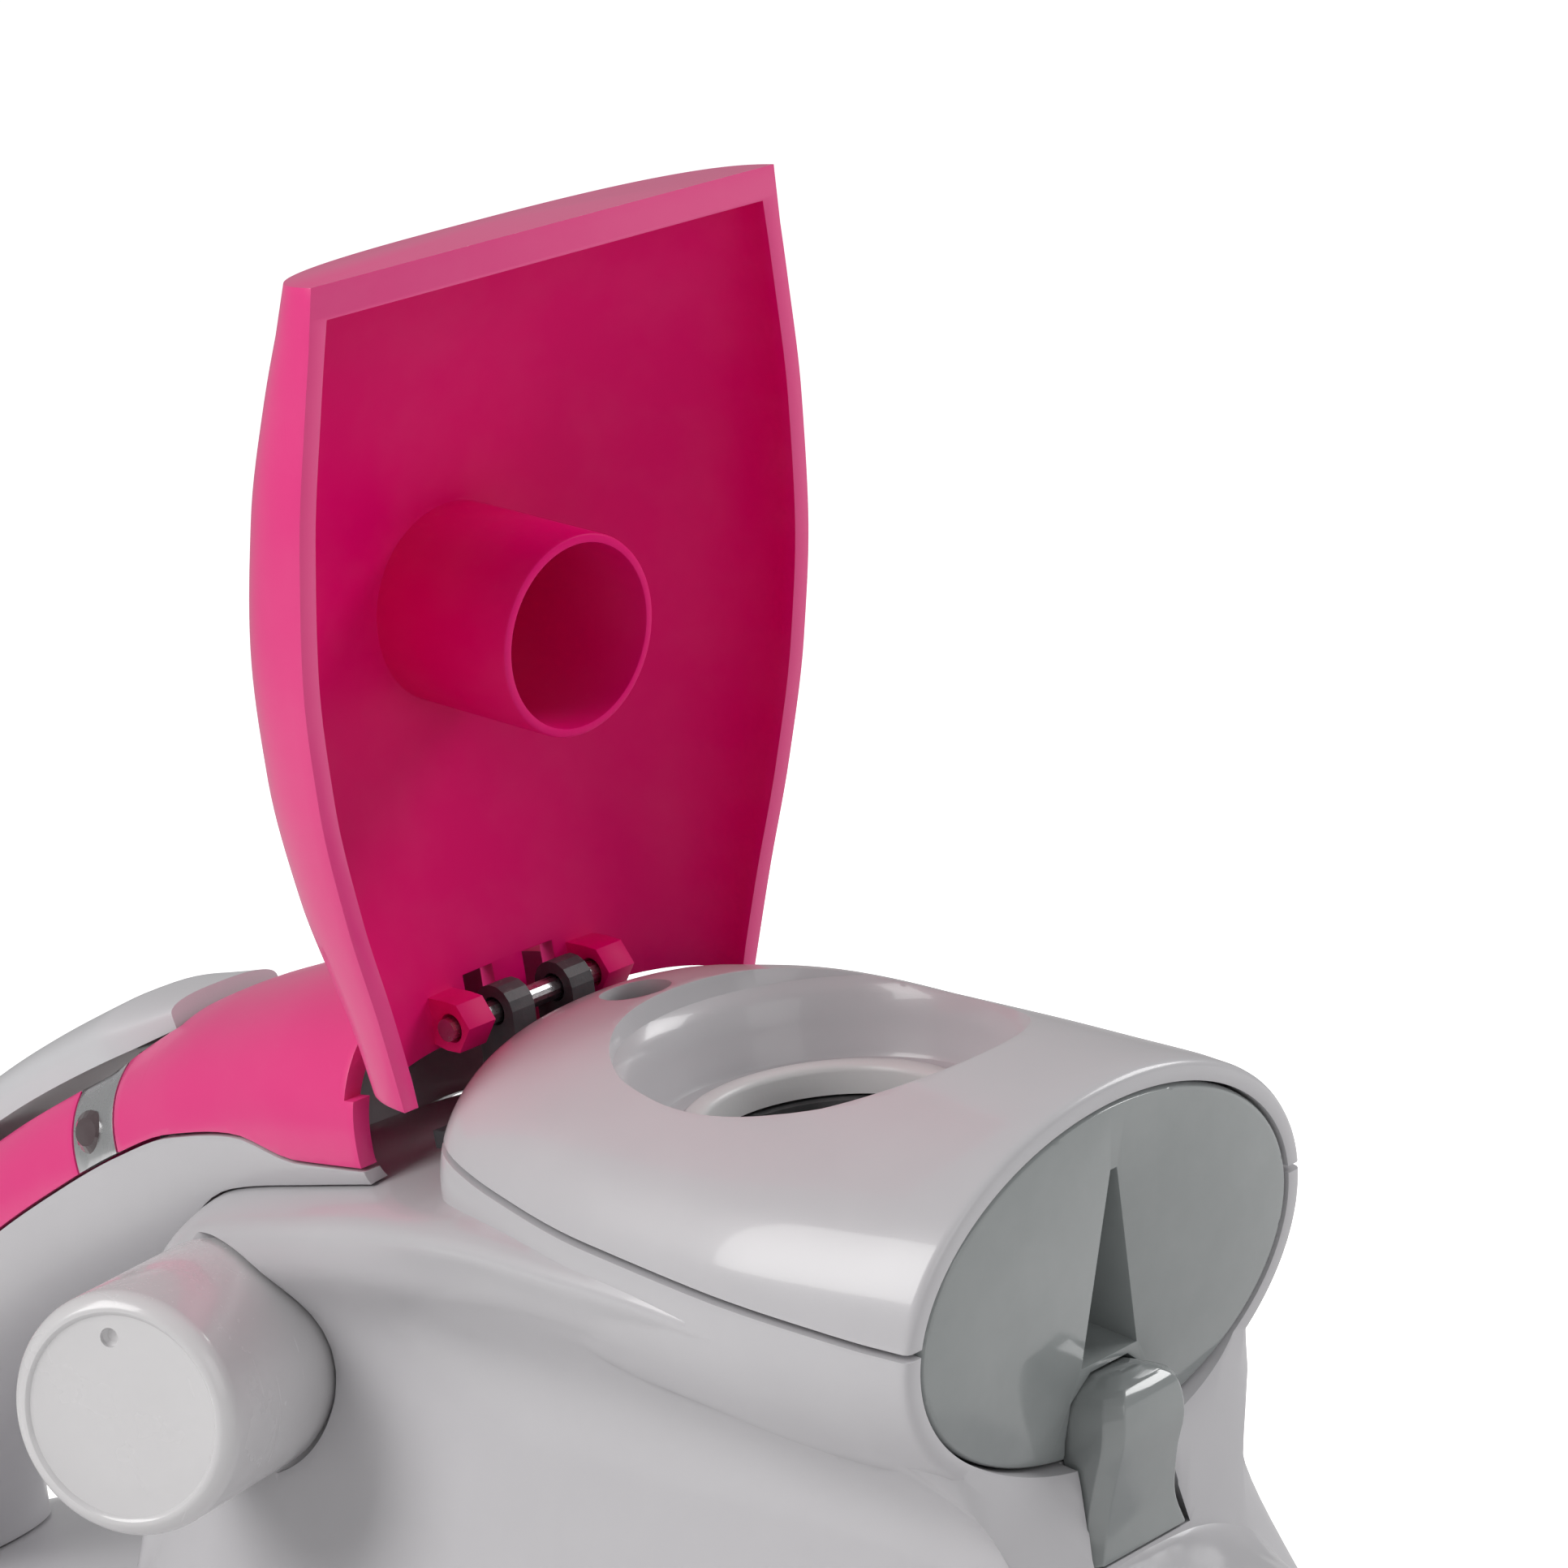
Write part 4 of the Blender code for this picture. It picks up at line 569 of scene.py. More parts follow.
def lid_skin():
    """The lid: arched shell, plug tube, hinge lugs with room for the arms between them, and catch pocket."""
    stations = [-3.2, -2.6, -1.6, 0.0] + spread(2.0, 80.0, 48) + [81.0, 82.0, 83.2, 84.4, 85.6, LID_END]
    lid = solid("lid_skin", [lid_section(s, 0.0) for s in stations])
    inner = [-9.0, -4.0] + spread(0.0, 80.0, 46) + [81.5, 83.2, LID_LIP_REACH]
    cut(lid, solid("hollow", [lid_section(s, SHELL_WALL, 4.0) for s in inner]))
    down = lid_point(0, 0, -1) - lid_point(0, 0, 0)
    plate = smooth_value(LID_CROWN, PLUG_REACH) - 1.1
    length = plate + PLUG_DROP
    start = lid_point(PLUG_REACH, 0, plate)
    cut(lid, turned("plug", start, down, ((0, 0), (11.2, 0), (11.2, length - 0.4), (11.1, length - 0.1),
                                          (10.9, length), (0, length))), "UNION")
    cut(lid, turned("plug_bore", lid_point(PLUG_REACH, 0, plate - 1.1), down,
                    ((0, 0), (9.6, 0), (10.2, 0.6), (10.2, length - 1.5), (10.35, 40.0), (0, 40.0))))
    for side in (-LUG_SPACING, LUG_SPACING):
        outline = [(-2.6, -1.2), (0.6, -2.9), (2.9, -0.9), (2.9, 1.0), (2.4, 6.4), (-2.2, 6.0), (-2.8, 0.8)]
        rings = [[lid_point(s, side + y, n) for s, n in outline] for y in (-LUG_HALF, LUG_HALF)]
        cut(lid, solid("lug", rings), "UNION")
        inner = side - math.copysign(6.2, side)
        room = [lid_point(s, 0, n) for s, n in ((-12, -12), (3.4, -12), (3.4, 12), (-12, 12))]
        cut(lid, slab("arm_room", [(p.x, p.z) for p in room], inner - 2.3, inner + 2.3))
    drill(lid, HINGE + Vector((0, -14, 0)), (0, 1, 0), 1.65, 28, 32)
    pocket = ((84.4, -6.4), (86.6, -6.4), (86.6, -3.4), (84.4, -2.8))
    cut(lid, solid("catch", [[lid_point(s, y, n) for s, n in pocket] for y in (-4.2, 4.2)]))
    return finished(lid, sizes().lid_round)


def in_lid_painted_shade(point):
    """Whether a point lies on the hollow side of the lid's wall, where the lid gets the darker pink of painted
    shade.
    """
    a = math.radians(LID_OPEN)
    run = point - HINGE
    reach = run.x * math.cos(a) + run.z * math.sin(a)
    lift = run.z * math.cos(a) - run.x * math.sin(a)
    if lift < 0.15 - LID_RIM_DROP or reach > 85.6:
        return lift < 0.0 and abs(run.y) < 14.0 and reach < 80.0
    half = smooth_value(LID_HALF, reach) - 1.1
    tall = smooth_value(LID_CROWN, reach) + LID_RIM_DROP - 1.1
    return (abs(run.y) / half) ** LID_POWER + ((lift + LID_RIM_DROP) / tall) ** LID_POWER < 1.0


# ---- barrel ----

def rounded_section(centre, tilt, half, up, down, power, count):
    """A ring across the iron, tilted nose-up by `tilt`, squarer as `power` grows."""
    ring = []
    for k in range(count):
        c, s = squarish(2 * math.pi * (k + 0.5) / count, power)
        ring.append(tilted(centre, tilt, 0.0, half * c, (up if s > 0 else down) * s))
    return ring


def barrel_section(x, inset, count=160):
    """A section of the barrel, which leans back towards its front."""
    share = min(max((x - 52.0) / 39.0, 0.0), 1.0)
    lean = -FACE_TILT * share * share * (3 - 2 * share)
    top, low = smooth_value(BARREL_TOP, x), smooth_value(BARREL_LOW, x)
    half = smooth_value(BARREL_HALF, x) - inset
    tall = (top - low) / 2 / math.cos(math.radians(lean)) - inset
    power = 2.35 - 0.3 * min(max(x - 40.0, 0.0) / 51.0, 1.0)
    return rounded_section(Vector((x, 0, (top + low) / 2)), lean, half, tall, tall, power, count)


def face_ring(forward, grow, count=160):
    centre = tilted(FACE, -FACE_TILT, forward, 0, 0)
    return rounded_section(centre, -FACE_TILT, FACE_HALF_WIDTH + grow, FACE_HALF_HEIGHT + grow,
                           FACE_HALF_HEIGHT + grow, 2.0, count)


def barrel(name):
    """The barrel's solid: fine sections, then its leaning oval front with a rounded rim."""
    stations = [17.0, 17.3, 17.8, 18.6, 19.5, 20.5, 21.5, 23.0, 25.0] + spread(27.0, 86.0, 34)
    rings = [barrel_section(x, 0.0) for x in stations]
    rim = [face_ring(f, g) for f, g in ((-1.1, 2.5), (-0.6, 2.42), (-0.2, 2.15), (0.0, 1.75))]
    return solid(name, rings + rim)


def barrel_hollow():
    stations = [19.6, 21.5, 24.0] + spread(26.0, 86.0, 26)
    return solid("hollow", [barrel_section(x, SHELL_WALL) for x in stations]
                                        + [face_ring(-3.4, 0.3), face_ring(4.0, 0.3)])


def seam_space(offset, above):
    """The side view of the space on one side of the seam between dome and body."""
    xs = spread(SEAM[0][0], SEAM[-1][0], 40)
    line = [(x, smooth_value(SEAM, x) + offset) for x in xs]
    edge = 221.0 if above else 71.0
    outline = line + [(210.0, line[-1][1]), (210.0, edge), (line[0][0], edge)]
    return slab("seam_space", outline, -80, 80)


def deck_up():
    return deck_point(0, 0, 1) - deck_point(0, 0, 0)


def dome_skin():
    """The barrel's upper half with the stepped filling recess, its mouth and the vent hole."""
    dome = barrel("dome_skin")
    up = deck_up()
    cut(dome, seam_space(DOME_LIFT, True), "INTERSECT")
    cut(dome, barrel_hollow())
    cup = turned("cup", deck_point(PLUG_REACH, 0, RECESS_FLOOR - 2.0), up,
                 ((0, 0), (21, 0), (25.5, 14.6), (0, 14.6)))
    stations = [18.6, 21.5, 25.0] + spread(28.0, 86.0, 24)
    limit = solid("limit", [barrel_section(x, 0.6) for x in stations] + [face_ring(0.0, 1.9)])
    cut(cup, limit, "INTERSECT")
    cut(dome, cup, "UNION")
    cut(dome, turned("funnel", deck_point(PLUG_REACH, 0, RECESS_FLOOR), up,
                     ((0, 0), (18.4, 0), (18.9, 0.25), (19.2, 0.8), (19.9, 4.4), (20.6, 6.9), (21.3, 8.0),
                      (22.0, 8.6), (22.5, 10.4), (23.2, 16.6), (0, 16.6)), 128))
    drill(dome, deck_point(PLUG_REACH, 0, -16.3), up, 16.35, 20, 128)
    drill(dome, deck_point(VENT_REACH, 0, -8), up, VENT_RADIUS, 20)
    return finished(dome, sizes().dome_round, 38)


# ---- body ----

def spline_point(p0, p1, p2, p3, t):
    """A point between p1 and p2 on a smooth curve through four points."""
    values = []
    for a, b, c, d in zip(p0, p1, p2, p3):
        m0, m1 = (c - a) / 2, (d - b) / 2
        values.append((2 * t ** 3 - 3 * t * t + 1) * b + (t ** 3 - 2 * t * t + t) * m0
                      + (3 * t * t - 2 * t ** 3) * c + (t ** 3 - t * t) * m1)
    return tuple(values)


def body_section(row, inset, floor, steps=9):
    """A closed body section; `inset` thins it for the hollow and `floor` is its lowest height."""
    x, flare_z, flare, scoop_z, scoop, rib_z, rib, crown_z, crown, top_z = row
    base = max(sole_half(x) - 1.2, 1.8)
    scoop = min(scoop, base * 0.9)
    keys = ((base, BODY_FOOT), (scoop + flare * (base - scoop), flare_z), (scoop, scoop_z), (rib, rib_z),
            (crown, crown_z), (0.0, top_z))
    side = []
    for k in range(len(keys) - 1):
        before, after = keys[max(k - 1, 0)], keys[min(k + 2, len(keys) - 1)]
        side += [spline_point(before, keys[k], keys[k + 1], after, i / steps) for i in range(steps)]
    side.append(keys[-1])
    low = [(max(w - inset, 0.4), z - inset * (k / (len(side) - 1)) ** 0.5) for k, (w, z) in enumerate(side)]
    low[0] = (low[0][0], floor)
    low[-1] = (0.0, low[-1][1])
    return [(x, -w, z) for w, z in low] + [(x, w, z) for w, z in reversed(low[:-1])]


def body_row(x):
    return (x,) + tuple(column(BODY_ROWS, k, x) for k in range(1, 10))


def hollow_row(k):
    """The row of the hollow at one station, kept a wall's thickness inside its neighbours."""
    row = list(BODY_ROWS[k])
    for index in range(3, 10):
        row[index] = min(BODY_ROWS[i][index] for i in (k - 1, k, k + 1) if abs(BODY_ROWS[i][0] - row[0]) < 9.0)
    return tuple(row)


def window_sections(grow):
    """Sections of the sight window, from the bump under the notch down the neck."""
    rings = []
    for z, half, nose in ((94.5, 2.6, 91.6), (92.5, 5.6, 93.6), (88.5, 6.4, 93.4), (84.0, 6.5, 91.4),
                          (79.0, 7.0, 89.6), (75.2, 8.2, 89.2)):
        half += grow
        nose += grow
        corner = min(1.6, half * 0.5)
        back = 86.0 - grow
        rings.append([(back, -half, z), (nose - corner, -half, z), (nose, -half + corner, z),
                      (nose, half - corner, z), (nose - corner, half, z), (back, half, z)])
    return rings


def window_room():
    rings = window_sections(GAP)
    rings[0] = [(x, y, z + GAP) for x, y, z in rings[0]]
    rings[-1] = [(x, y, z - GAP) for x, y, z in rings[-1]]
    return solid("window_room", rings)


def dial_point(forward):
    return DIAL_FACE + DIAL_AXIS * forward


def dial_room():
    """The room for the dial, its shaft and the switch behind it."""
    return turned("dial_room", dial_point(0), DIAL_AXIS,
                  ((0, -41.5), (8.85, -41.5), (8.85, -32.15), (3.6, -32.15), (3.6, -26.0), (14.4, -26.0),
                   (14.4, 20.0), (0, 20.0)))


def body_skin():
    """The body shell joined to the barrel's lower half, hollow, with room for what sits in it."""
    xs = [-147.5, -146.4, -145.0] + spread(-143.0, -64.0, 34) + spread(-62.5, -36.0, 24)
    xs += spread(-33.5, 86.0, 50) + [87.0, 87.5, 87.9, 88.3, 88.7, 89.0, 90.0] + spread(92.0, 144.0, 27)
    xs += [145.6, 147.0, 148.0, 148.4]
    body = solid("body_skin", [body_section(body_row(x), 0.0, BODY_FOOT) for x in xs])
    cut(body, seam_space(-SEAM_GAP, True))
    lower = barrel("lower_barrel")
    cut(lower, seam_space(-SEAM_GAP, False), "INTERSECT")
    cut(body, lower, "UNION")
    inner = [hollow_row(k) for k in range(1, len(BODY_ROWS) - 2)]
    cut(body, solid("hollow", [body_section(row, 2.4, BODY_FOOT - 5, 4) for row in inner]))
    cut(body, barrel_hollow())
    cut(body, window_room())
    cut(body, dial_room())
    drill(body, (-158, 0, 33.35), (1, 0, 0), 6.2, 24)
    return finished(body, sizes().shell_round)


# ---- front ----

def notch(name, shape, front):
    """A block in the window's face from (height, half width, depth) levels; `front` is how far it stands out."""
    rings = []
    for lift, half, depth in shape:
        rings.append([tilted(FACE, -FACE_TILT, reach, side, lift)
                      for reach, side in ((front, -half), (front, half), (-depth, half), (-depth, -half))])
    return solid(name, rings)


def front_glass():
    """The smoky oval front with its rounded rim, the notch and the nozzle's hole."""
    rim = ((-3.0, 0.0), (-0.9, 0.0), (-0.45, -0.1), (-0.12, -0.35), (0.0, -0.8))
    glass = solid("front_glass", [face_ring(forward, grow) for forward, grow in rim])
    cut(glass, window_room())
    cut(glass, notch("pocket", ((13.0, 2.0, 2.6), (-9.6, 6.0, 9.0)), -1.0), "UNION")
    cut(glass, notch("notch", ((12.0, 0.5, 1.0), (-9.0, 4.4, 7.0)), 3.0))
    way = tilted(FACE, -FACE_TILT, -9.5, 0, -4.5)
    drill(glass, way + Vector((-4, 0, 0)), (1, 0, 0), 2, 16)
    return finished(glass, sizes().glass_round, 38)


def sight_glass():
    """The sight window below the front, with its bump under the notch."""
    keys = window_sections(0.0)
    rings = []
    for k in range(len(keys) - 1):
        lines = list(zip(keys[max(k - 1, 0)], keys[k], keys[k + 1], keys[min(k + 2, len(keys) - 1)]))
        rings += [[spline_point(*line, i / 6) for line in lines] for i in range(6)]
    glass = solid("sight_glass", rings + [keys[-1]])
    return smooth(bevelled(glass, sizes().sight_round, 30, 3), 35)


def dial_knob():
    """The dial: a knob with a rounded rim, a shallow face, a pointer dimple and the shaft's socket."""
    knob = turned("dial_knob", dial_point(0), DIAL_AXIS,
                  ((0, -25.1), (13.5, -25.1), (13.8, -24.8), (13.8, -2.0), (13.72, -1.6), (13.45, -1.05),
                   (13.0, -0.6), (12.5, -0.2), (12.1, -0.02), (11.8, -0.02), (11.55, -0.16), (11.35, -0.4),
                   (10.9, -0.5), (6.0, -0.52), (0, -0.52)), 144)
    up = DIAL_AXIS.cross(Vector((0, 0, 1)).cross(DIAL_AXIS)).normalized()
    start = dial_point(-1.5) + up * 8.8
    cut(knob, turned("mark", start, DIAL_AXIS, ((0, 0), (0.7, 0.05), (1.1, 0.4), (1.1, 5), (0, 5)), 48))
    drill(knob, dial_point(-27.5), DIAL_AXIS, 3.35, 13.4)
    return smooth(knob, 28)


def collar_ring():
    ring = turned_ring("collar_ring", deck_point(PLUG_REACH, 0, -9.3), deck_up(),
                       ((13.2, 0.0), (15.8, 0.0), (16.0, 0.2), (16.0, 2.5), (15.85, 2.95), (15.5, 3.25),
                        (15.0, 3.4), (14.2, 3.4), (13.65, 3.25), (13.3, 2.95), (13.2, 2.5)), 128)
    return smooth(ring, 40)


# ---- handle ----

def handle_section(x, inset, front_shift=0.0, drop=0.0, count=112):
    z, half, up, down, lean = (column(HANDLE_ROWS, k, x) for k in range(1, 6))
    return rounded_section(Vector((x + front_shift, 0, z - drop)), lean, half - inset, up - inset, down - inset,
                           HANDLE_POWER, count)


def handle_skin():
    """The whole handle as one hollow shell, cut short where the lid swings."""
    xs = spread(4.0, -128.0, 90) + [-129.5, -131.0, -132.5, -133.7, -134.5]
    skin = solid("handle_skin", [handle_section(x, 0.0) for x in xs])
    inner = [handle_section(4.0, SHELL_WALL, 3.0)]
    inner += [handle_section(x, SHELL_WALL) for x in spread(1.0, -130.0, 60)]
    cut(skin, solid("inside", inner + [handle_section(-134.5, SHELL_WALL, 0.0, 4.0)]))
    back, top = lid_point(-8.0, 0, 8.4), lid_point(40.0, 0, 17.4)
    cut(skin, slab("lid_room", [(back.x, back.z), (top.x, top.z), (back.x + 60, top.z), (back.x + 60, back.z)],
                   -50, 50))
    return skin


def cover_line_space(front, rear, offset):
    """The space above the line between the covers and the frame."""
    line = sorted(COVER_LINE)
    points = [(x, smooth_value(line, x) + offset) for x in spread(front, rear, 60)]
    outline = points + [(points[-1][0] - 8.0, points[-1][1] + 42.0), (points[0][0], points[0][1] + 60.0)]
    return slab("line_space", outline, -SWEEP, SWEEP)


def handle_slice(front, rear):
    """A leaning slab across the handle between two stations."""
    corners = []
    for x, lifts in ((front, (-40.0, 60.0)), (rear, (60.0, -40.0))):
        middle = Vector((x, 0, column(HANDLE_ROWS, 1, x)))
        corners += [tilted(middle, column(HANDLE_ROWS, 5, x), 0, 0, lift) for lift in lifts]
    return slab("slice", [(p.x, p.z) for p in corners], -SWEEP, SWEEP)


def lever_top(x):
    """A point on the handle's top line and its lean there."""
    middle, up, lean = (column(HANDLE_ROWS, k, x) for k in (1, 3, 5))
    return tilted(Vector((x, 0, middle)), lean, 0, 0, up), lean


def lever_solid(name, grow, front_grow, thick, sink):
    """A slim crowned bar that follows the handle's top line, with rounded ends."""
    front, rear = LEVER_FRONT + front_grow, LEVER_REAR - grow
    rings = []
    for x in eased(front, rear, 60):
        top, lean = lever_top(x)
        near = min(front - x, x - rear)
        step = (front - rear) / 7.0
        share = min(near / step, 1.0)
        half = (LEVER_HALF + grow) * (0.72 + 0.28 * share)
        lift = (thick + grow) * (0.45 + 0.55 * share)
        ring = [tilted(top, lean, 0.0, -half, -sink)]
        for k in range(25):
            c, s = squarish(math.pi - math.pi * k / 24, 2.6)
            ring.append(tilted(top, lean, 0.0, half * c, lift * (0.10 + 0.90 * s)))
        ring.append(tilted(top, lean, 0.0, half, -sink))
        rings.append(ring)
    return solid(name, rings)


def lever_bar():
    lever = lever_solid("lever_bar", 0.0, 0.0, LEVER_THICK, LEVER_SINK)
    pivot, lean = lever_top(LEVER_REAR + 4.0)
    drill(lever, tilted(pivot, lean, 0, 0, 0.4) + Vector((0, -9.6, 0)), (0, 1, 0), 1.3, 19.2, 32)
    return smooth(lever, 40)


def copy_of(obj, name):
    pick(obj)
    bpy.ops.object.duplicate()
    twin = bpy.context.object
    twin.name = name
    twin.data.name = name
    return twin


def handle_pieces():
    """The handle frame, its two pink covers and the plated band between them."""
    skin = handle_skin()
    made = {}
    for name, (front, rear) in (("cover_front", FRONT_COVER), ("band", BAND), ("cover_rear", REAR_COVER)):
        piece = copy_of(skin, name)
        cut(piece, cover_line_space(20.0, -122.0, 0.45), "INTERSECT")
        cut(piece, handle_slice(front - 0.2, rear + 0.2), "INTERSECT")
        cut(piece, lever_solid("lever_room", RUN_GAP, LEVER_FRONT_GAP, LEVER_THICK + 3.0, 8.2))
        made[name] = finished(piece, sizes().shell_round)
    region = cover_line_space(20.0, -122.0, 0.0)
    cut(region, handle_slice(20.0, REAR_COVER[1]), "INTERSECT")
    cut(skin, region)
    room = [body_section(body_row(x), -GAP, BODY_FOOT - 6, 5) for x in spread(-147.5, 60.0, 80)]
    cut(skin, solid("body_room", room))
    skin.name = "handle_skin"
    made["frame"] = finished(skin, sizes().shell_round)
    return made


# ---- sole and shield ----

def sole_outline(inset, half_count=110):
    """The soleplate's outline, moved inwards by `inset`, from heel to nose and back."""
    start, end = HEEL_X + inset, NOSE_X - inset * 1.8
    right = [(x, -max(sole_half(x) - inset, 0.9)) for x in eased(start, end, half_count)]
    return right + [(x, -y) for x, y in reversed(right)]


def sole_solid(name, levels, half_count=110):
    """A solid of the sole's outline from (inset, height) levels."""
    return solid(name, [[(x, y, z) for x, y in sole_outline(i, half_count)] for i, z in levels])


def sole_plate():
    """The soleplate with its rounded edge and countersunk steam vents."""
    plate = sole_solid("sole_plate", ((1.6, 0.0), (0.9, 0.12), (0.4, 0.4), (0.12, 0.9), (0.0, 1.6), (0.0, 4.5),
                                      (0.15, 4.85), (0.5, 5.0)))
    for reach, side in SOLE_VENTS:
        for y in ((side, -side) if side else (0,)):
            cut(plate, turned("vent", (NOSE_X - reach, y, -1), (0, 0, 1),
                              ((0, 0), (2.9, 0), (2.9, 0.6), (1.5, 2.0), (1.5, 7), (0, 7)), 32))
    return smooth(plate, 30)


def shield_skirt():
    """The dark skirt between soleplate and body, with a shallow groove round it."""
    skirt = sole_solid("shield_skirt", ((2.4, 6.6), (2.1, 6.75), (2.0, 7.1), (2.0, 11.0), (2.35, 11.5),
                                        (2.35, 12.3), (2.0, 12.8), (2.0, 23.4), (2.15, 23.8), (2.6, 24.0)))
    cut(skirt, sole_solid("hollow", ((4.6, 5.6), (4.6, 22.4)), 40))
    for x in (-78.0, 38.0):
        drill(skirt, (x, 0, 10), (0, 0, 1), 6.5, 30)
    return smooth(skirt, 30)


# ---- studio ----

def area_light(name, place, target, size, watts, tint=(1.0, 1.0, 1.0)):
    deselect()
    bpy.ops.object.light_add(type="AREA", location=[c * MM for c in place])
    light = bpy.context.object
    light.name = name
    light.data.shape = "RECTANGLE"
    light.data.size, light.data.size_y = size[0] * MM, size[1] * MM
    light.data.energy = watts
    light.data.color = tint
    aim = Vector(target) - Vector(place)
    light.rotation_euler = aim.to_track_quat("-Z", "Y").to_euler()


def glow_where_seen(material, strength):
    """Lift the paint's brightness towards white without lighting the iron from below."""
    w = Wiring(material.node_tree)
    shader = material.node_tree.nodes["Principled BSDF"]
    seen = w.add("ShaderNodeLightPath").outputs["Is Camera Ray"]
    shader.inputs["Emission Color"].default_value = (1.0, 1.0, 1.0, 1.0)
    w.tree.links.new(w.math("MULTIPLY", seen, strength), shader.inputs["Emission Strength"])


def studio_floor():
    deselect()
    bpy.ops.mesh.primitive_plane_add(size=60.0)
    floor = bpy.context.object
    floor.name = "floor"
    material = plastic("floor_paint", (0.86, 0.86, 0.86), 0.62, 0.02, 0.6, 0.0, 0.0)
    glow_where_seen(material, 0.8)
    floor.data.materials.append(material)


def studio_camera(settings):
    right = Vector((0.7096, 0.6821, -0.1769))
    up = Vector((-0.011, 0.2617, 0.9651))
    back = right.cross(up).normalized()
    up = back.cross(right).normalized()
    right.normalize()
    place = Vector((0.452, -0.3828, 0.264))
    deselect()
    bpy.ops.object.camera_add(location=place)
    camera = bpy.context.object
    camera.matrix_world = Matrix.Translation(place) @ Matrix((right, up, back)).transposed().to_4x4()
    camera.data.lens = settings.lens
    camera.data.sensor_width = 36.0
    camera.data.clip_start = 0.02
    bpy.context.scene.camera = camera


def studio_light():
    """Even white air, a broad key light, a faint fill from the front and a light from behind."""
    world = bpy.data.worlds.new("studio_air")
    world.use_nodes = True
    w = Wiring(world.node_tree)
    shade = world.node_tree.nodes["Background"]
    shade.inputs["Color"].default_value = (1.0, 1.0, 1.0, 1.0)
    seen = w.add("ShaderNodeLightPath").outputs["Is Camera Ray"]
    w.tree.links.new(w.ramp(seen, 0.0, 1.0, 0.32, 1.0), shade.inputs["Strength"])
    bpy.context.scene.world = world
    area_light("key_light", (-250, -900, 900), (40, 0, 130), (700, 700), 9.5, (1.0, 0.99, 0.98))
    area_light("front_fill", (900, -250, 350), (60, 0, 90), (500, 500), 0.8)
    area_light("rim_light", (500, 850, 650), (50, 0, 120), (600, 400), 5.0)
    bpy.context.scene.view_settings.view_transform = "Standard"
    bpy.context.scene.view_settings.look = "None"


# ---- settings, operators and panel ----

def paint(name, description, default):
    return bpy.props.FloatVectorProperty(name=name, description=description, subtype="COLOR", size=3,
                                         min=0.0, max=1.0, default=default)


def rounding(name, description, default):
    """An edge rounding that a user can change, given here in millimetres."""
    return bpy.props.FloatProperty(name=name, description=description, unit="LENGTH", precision=5,
                                   min=0.1 * MM, max=0.8 * MM, default=default * MM)


class IronColours(bpy.types.PropertyGroup):
    """Colours of the iron's moulded pieces, with a darker pink painted as shade on the lid's inside."""
    pink: paint("Pink", "Colour of the lid and the handle covers", (0.80, 0.035, 0.23))
    # The lid's inside colour is painted shade: a darker pink than the outside.
    pink_inside_shade: paint("Pink inside", "Darker pink painted on the lid's inside as shade", (0.76, 0.0, 0.16))
    body_grey: paint("Body grey", "Colour of the dome, body and handle frame", (0.54, 0.53, 0.55))
    window: paint("Window", "Colour of the smoky front window", (0.27, 0.29, 0.29))


class IronSizes(bpy.types.PropertyGroup):
    """Sizes of the iron's edge roundings, and the studio camera's lens."""
    lid_round: rounding("Lid edges", "Rounding of the lid's edges", 0.36)
    dome_round: rounding("Dome edges", "Rounding of the dome's edges", 0.32)
    shell_round: rounding("Shell edges", "Rounding of the edges of body and handle", 0.34)
    glass_round: rounding("Front edges", "Rounding of the smoky front's notch and rim", 0.22)
    sight_round: rounding("Sight window edges", "Rounding of the sight window's edges", 0.5)
    lens: bpy.props.FloatProperty(
        name="Lens", description="Focal length of the studio camera", unit="CAMERA", default=123.77,
        min=20.0, max=300.0)


def colours():
    return bpy.context.scene.iron_colours


def sizes():
    return bpy.context.scene.iron_sizes


FINISHES = {}


class IRON_OT_finishes(bpy.types.Operator):
    """Make the finishes and give each carried part its own"""
    bl_idname = "iron.finishes"
    bl_label = "Finishes"

    def execute(self, context):
        FINISHES.update(make_finishes(colours()))
        for finish, names in CARRIED_FINISHES.items():
            for name in names:
                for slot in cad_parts[name].material_slots:
                    slot.material = FINISHES[finish]
        return {"FINISHED"}


class IRON_OT_studio(bpy.types.Operator):
    """Put up the floor, lights and camera"""
    bl_idname = "iron.studio"
    bl_label = "Studio"

    def execute(self, context):
        studio_floor()
        studio_light()
        studio_camera(sizes())
        return {"FINISHED"}


class IRON_OT_lid(bpy.types.Operator):
    """Model the lid with its plug, hinge lugs and catch"""
    bl_idname = "iron.lid"
    bl_label = "Lid"

    def execute(self, context):
        lid = part(lid_skin(), "lid", "pink", "pink", "lid")
        # The faces in the lid's hollow get a darker second pink: painted shade.
        lid.data.materials.append(FINISHES["pink_painted_shade"])
        for face in lid.data.polygons:
            face.material_index = 1 if in_lid_painted_shade(face.center / MM) else 0
        return {"FINISHED"}


class IRON_OT_barrel(bpy.types.Operator):
    """Model the dome, the filling collar, the front glass and the sight glass"""
    bl_idname = "iron.barrel"
    bl_label = "Barrel"

    def execute(self, context):
        part(dome_skin(), "iron", "light_grey", "grey", "dome_shell")
        part(collar_ring(), "iron", "pale_grey", "collar", "filler_collar")
        part(front_glass(), "iron", "smoke", "smoke", "front_window")
        part(sight_glass(), "iron", "smoke", "smoke", "tank_window")
        return {"FINISHED"}


class IRON_OT_body(bpy.types.Operator):
    """Model the body shell"""
    bl_idname = "iron.body"
    bl_label = "Body"

    def execute(self, context):
        part(body_skin(), "iron", "light_grey", "grey", "body_shell")
        return {"FINISHED"}


class IRON_OT_dial(bpy.types.Operator):
    """Model the temperature dial"""
    bl_idname = "iron.dial"
    bl_label = "Temperature dial"

    def execute(self, context):
        part(dial_knob(), "dial", "light_grey", "dial", "temperature_dial")
        return {"FINISHED"}


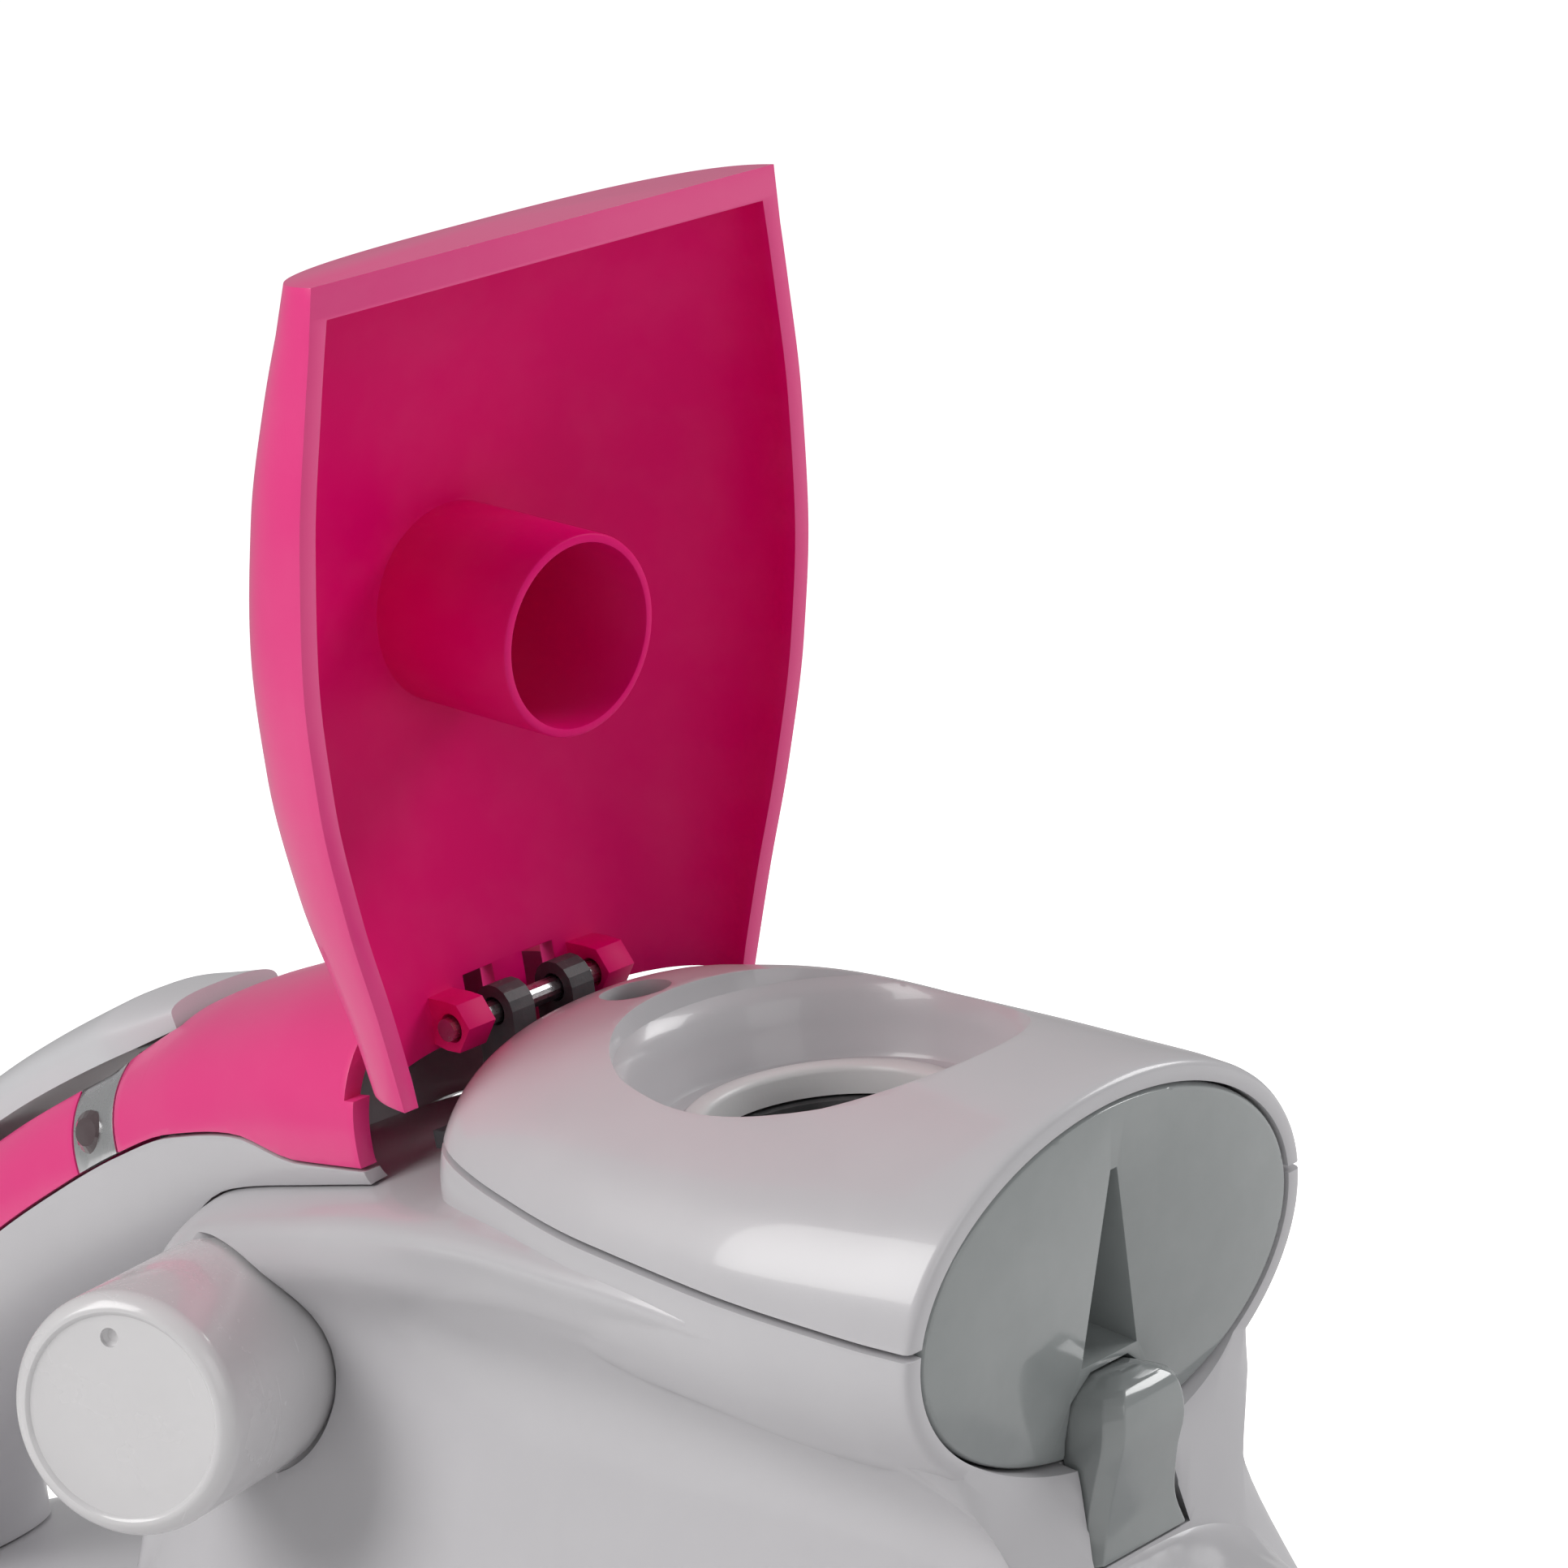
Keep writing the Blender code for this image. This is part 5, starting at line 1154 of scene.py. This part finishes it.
class IRON_OT_handle(bpy.types.Operator):
    """Model the handle frame, covers, band and steam lever"""
    bl_idname = "iron.handle"
    bl_label = "Handle"

    def execute(self, context):
        made = handle_pieces()
        part(made["cover_front"], "iron", "pink", "pink", "handle_cover_front")
        part(made["cover_rear"], "iron", "pink", "pink", "handle_cover_rear")
        part(made["frame"], "iron", "light_grey", "grey", "handle_frame")
        part(made["band"], "iron", "silver", "silver", "handle_band_left", "handle_band_right")
        part(lever_bar(), "steam_lever", "pale_grey", "lever", "steam_lever")
        return {"FINISHED"}


class IRON_OT_sole(bpy.types.Operator):
    """Model the soleplate and the heat shield above it"""
    bl_idname = "iron.sole"
    bl_label = "Soleplate"

    def execute(self, context):
        part(sole_plate(), "iron", "steel", "sole", "soleplate")
        part(shield_skirt(), "iron", "dark_grey", "shield", "heat_shield")
        return {"FINISHED"}


STEPS = (IRON_OT_finishes, IRON_OT_lid, IRON_OT_barrel, IRON_OT_body, IRON_OT_dial, IRON_OT_handle,
         IRON_OT_sole, IRON_OT_studio)


class IRON_PT_panel(bpy.types.Panel):
    """Sidebar panel with the iron's colours, sizes and building steps"""
    bl_idname = "IRON_PT_panel"
    bl_label = "Steam Iron"
    bl_space_type = "VIEW_3D"
    bl_region_type = "UI"
    bl_category = "Steam Iron"

    def draw(self, context):
        for group in (context.scene.iron_colours, context.scene.iron_sizes):
            for name in group.__annotations__:
                self.layout.prop(group, name)
        for step in STEPS:
            self.layout.operator(step.bl_idname)


CLASSES = (IronColours, IronSizes) + STEPS + (IRON_PT_panel,)


def register():
    for cls in CLASSES:
        bpy.utils.register_class(cls)
    bpy.types.Scene.iron_colours = bpy.props.PointerProperty(type=IronColours)
    bpy.types.Scene.iron_sizes = bpy.props.PointerProperty(type=IronSizes)


def unregister():
    del bpy.types.Scene.iron_colours
    del bpy.types.Scene.iron_sizes
    for cls in reversed(CLASSES):
        bpy.utils.unregister_class(cls)


def corners(box):
    return [[float(v) for v in corner] for corner in box]


def main():
    register()
    for step in STEPS:
        getattr(bpy.ops.iron, step.bl_idname.split(".")[1])()


if __name__ == "__main__":
    main()
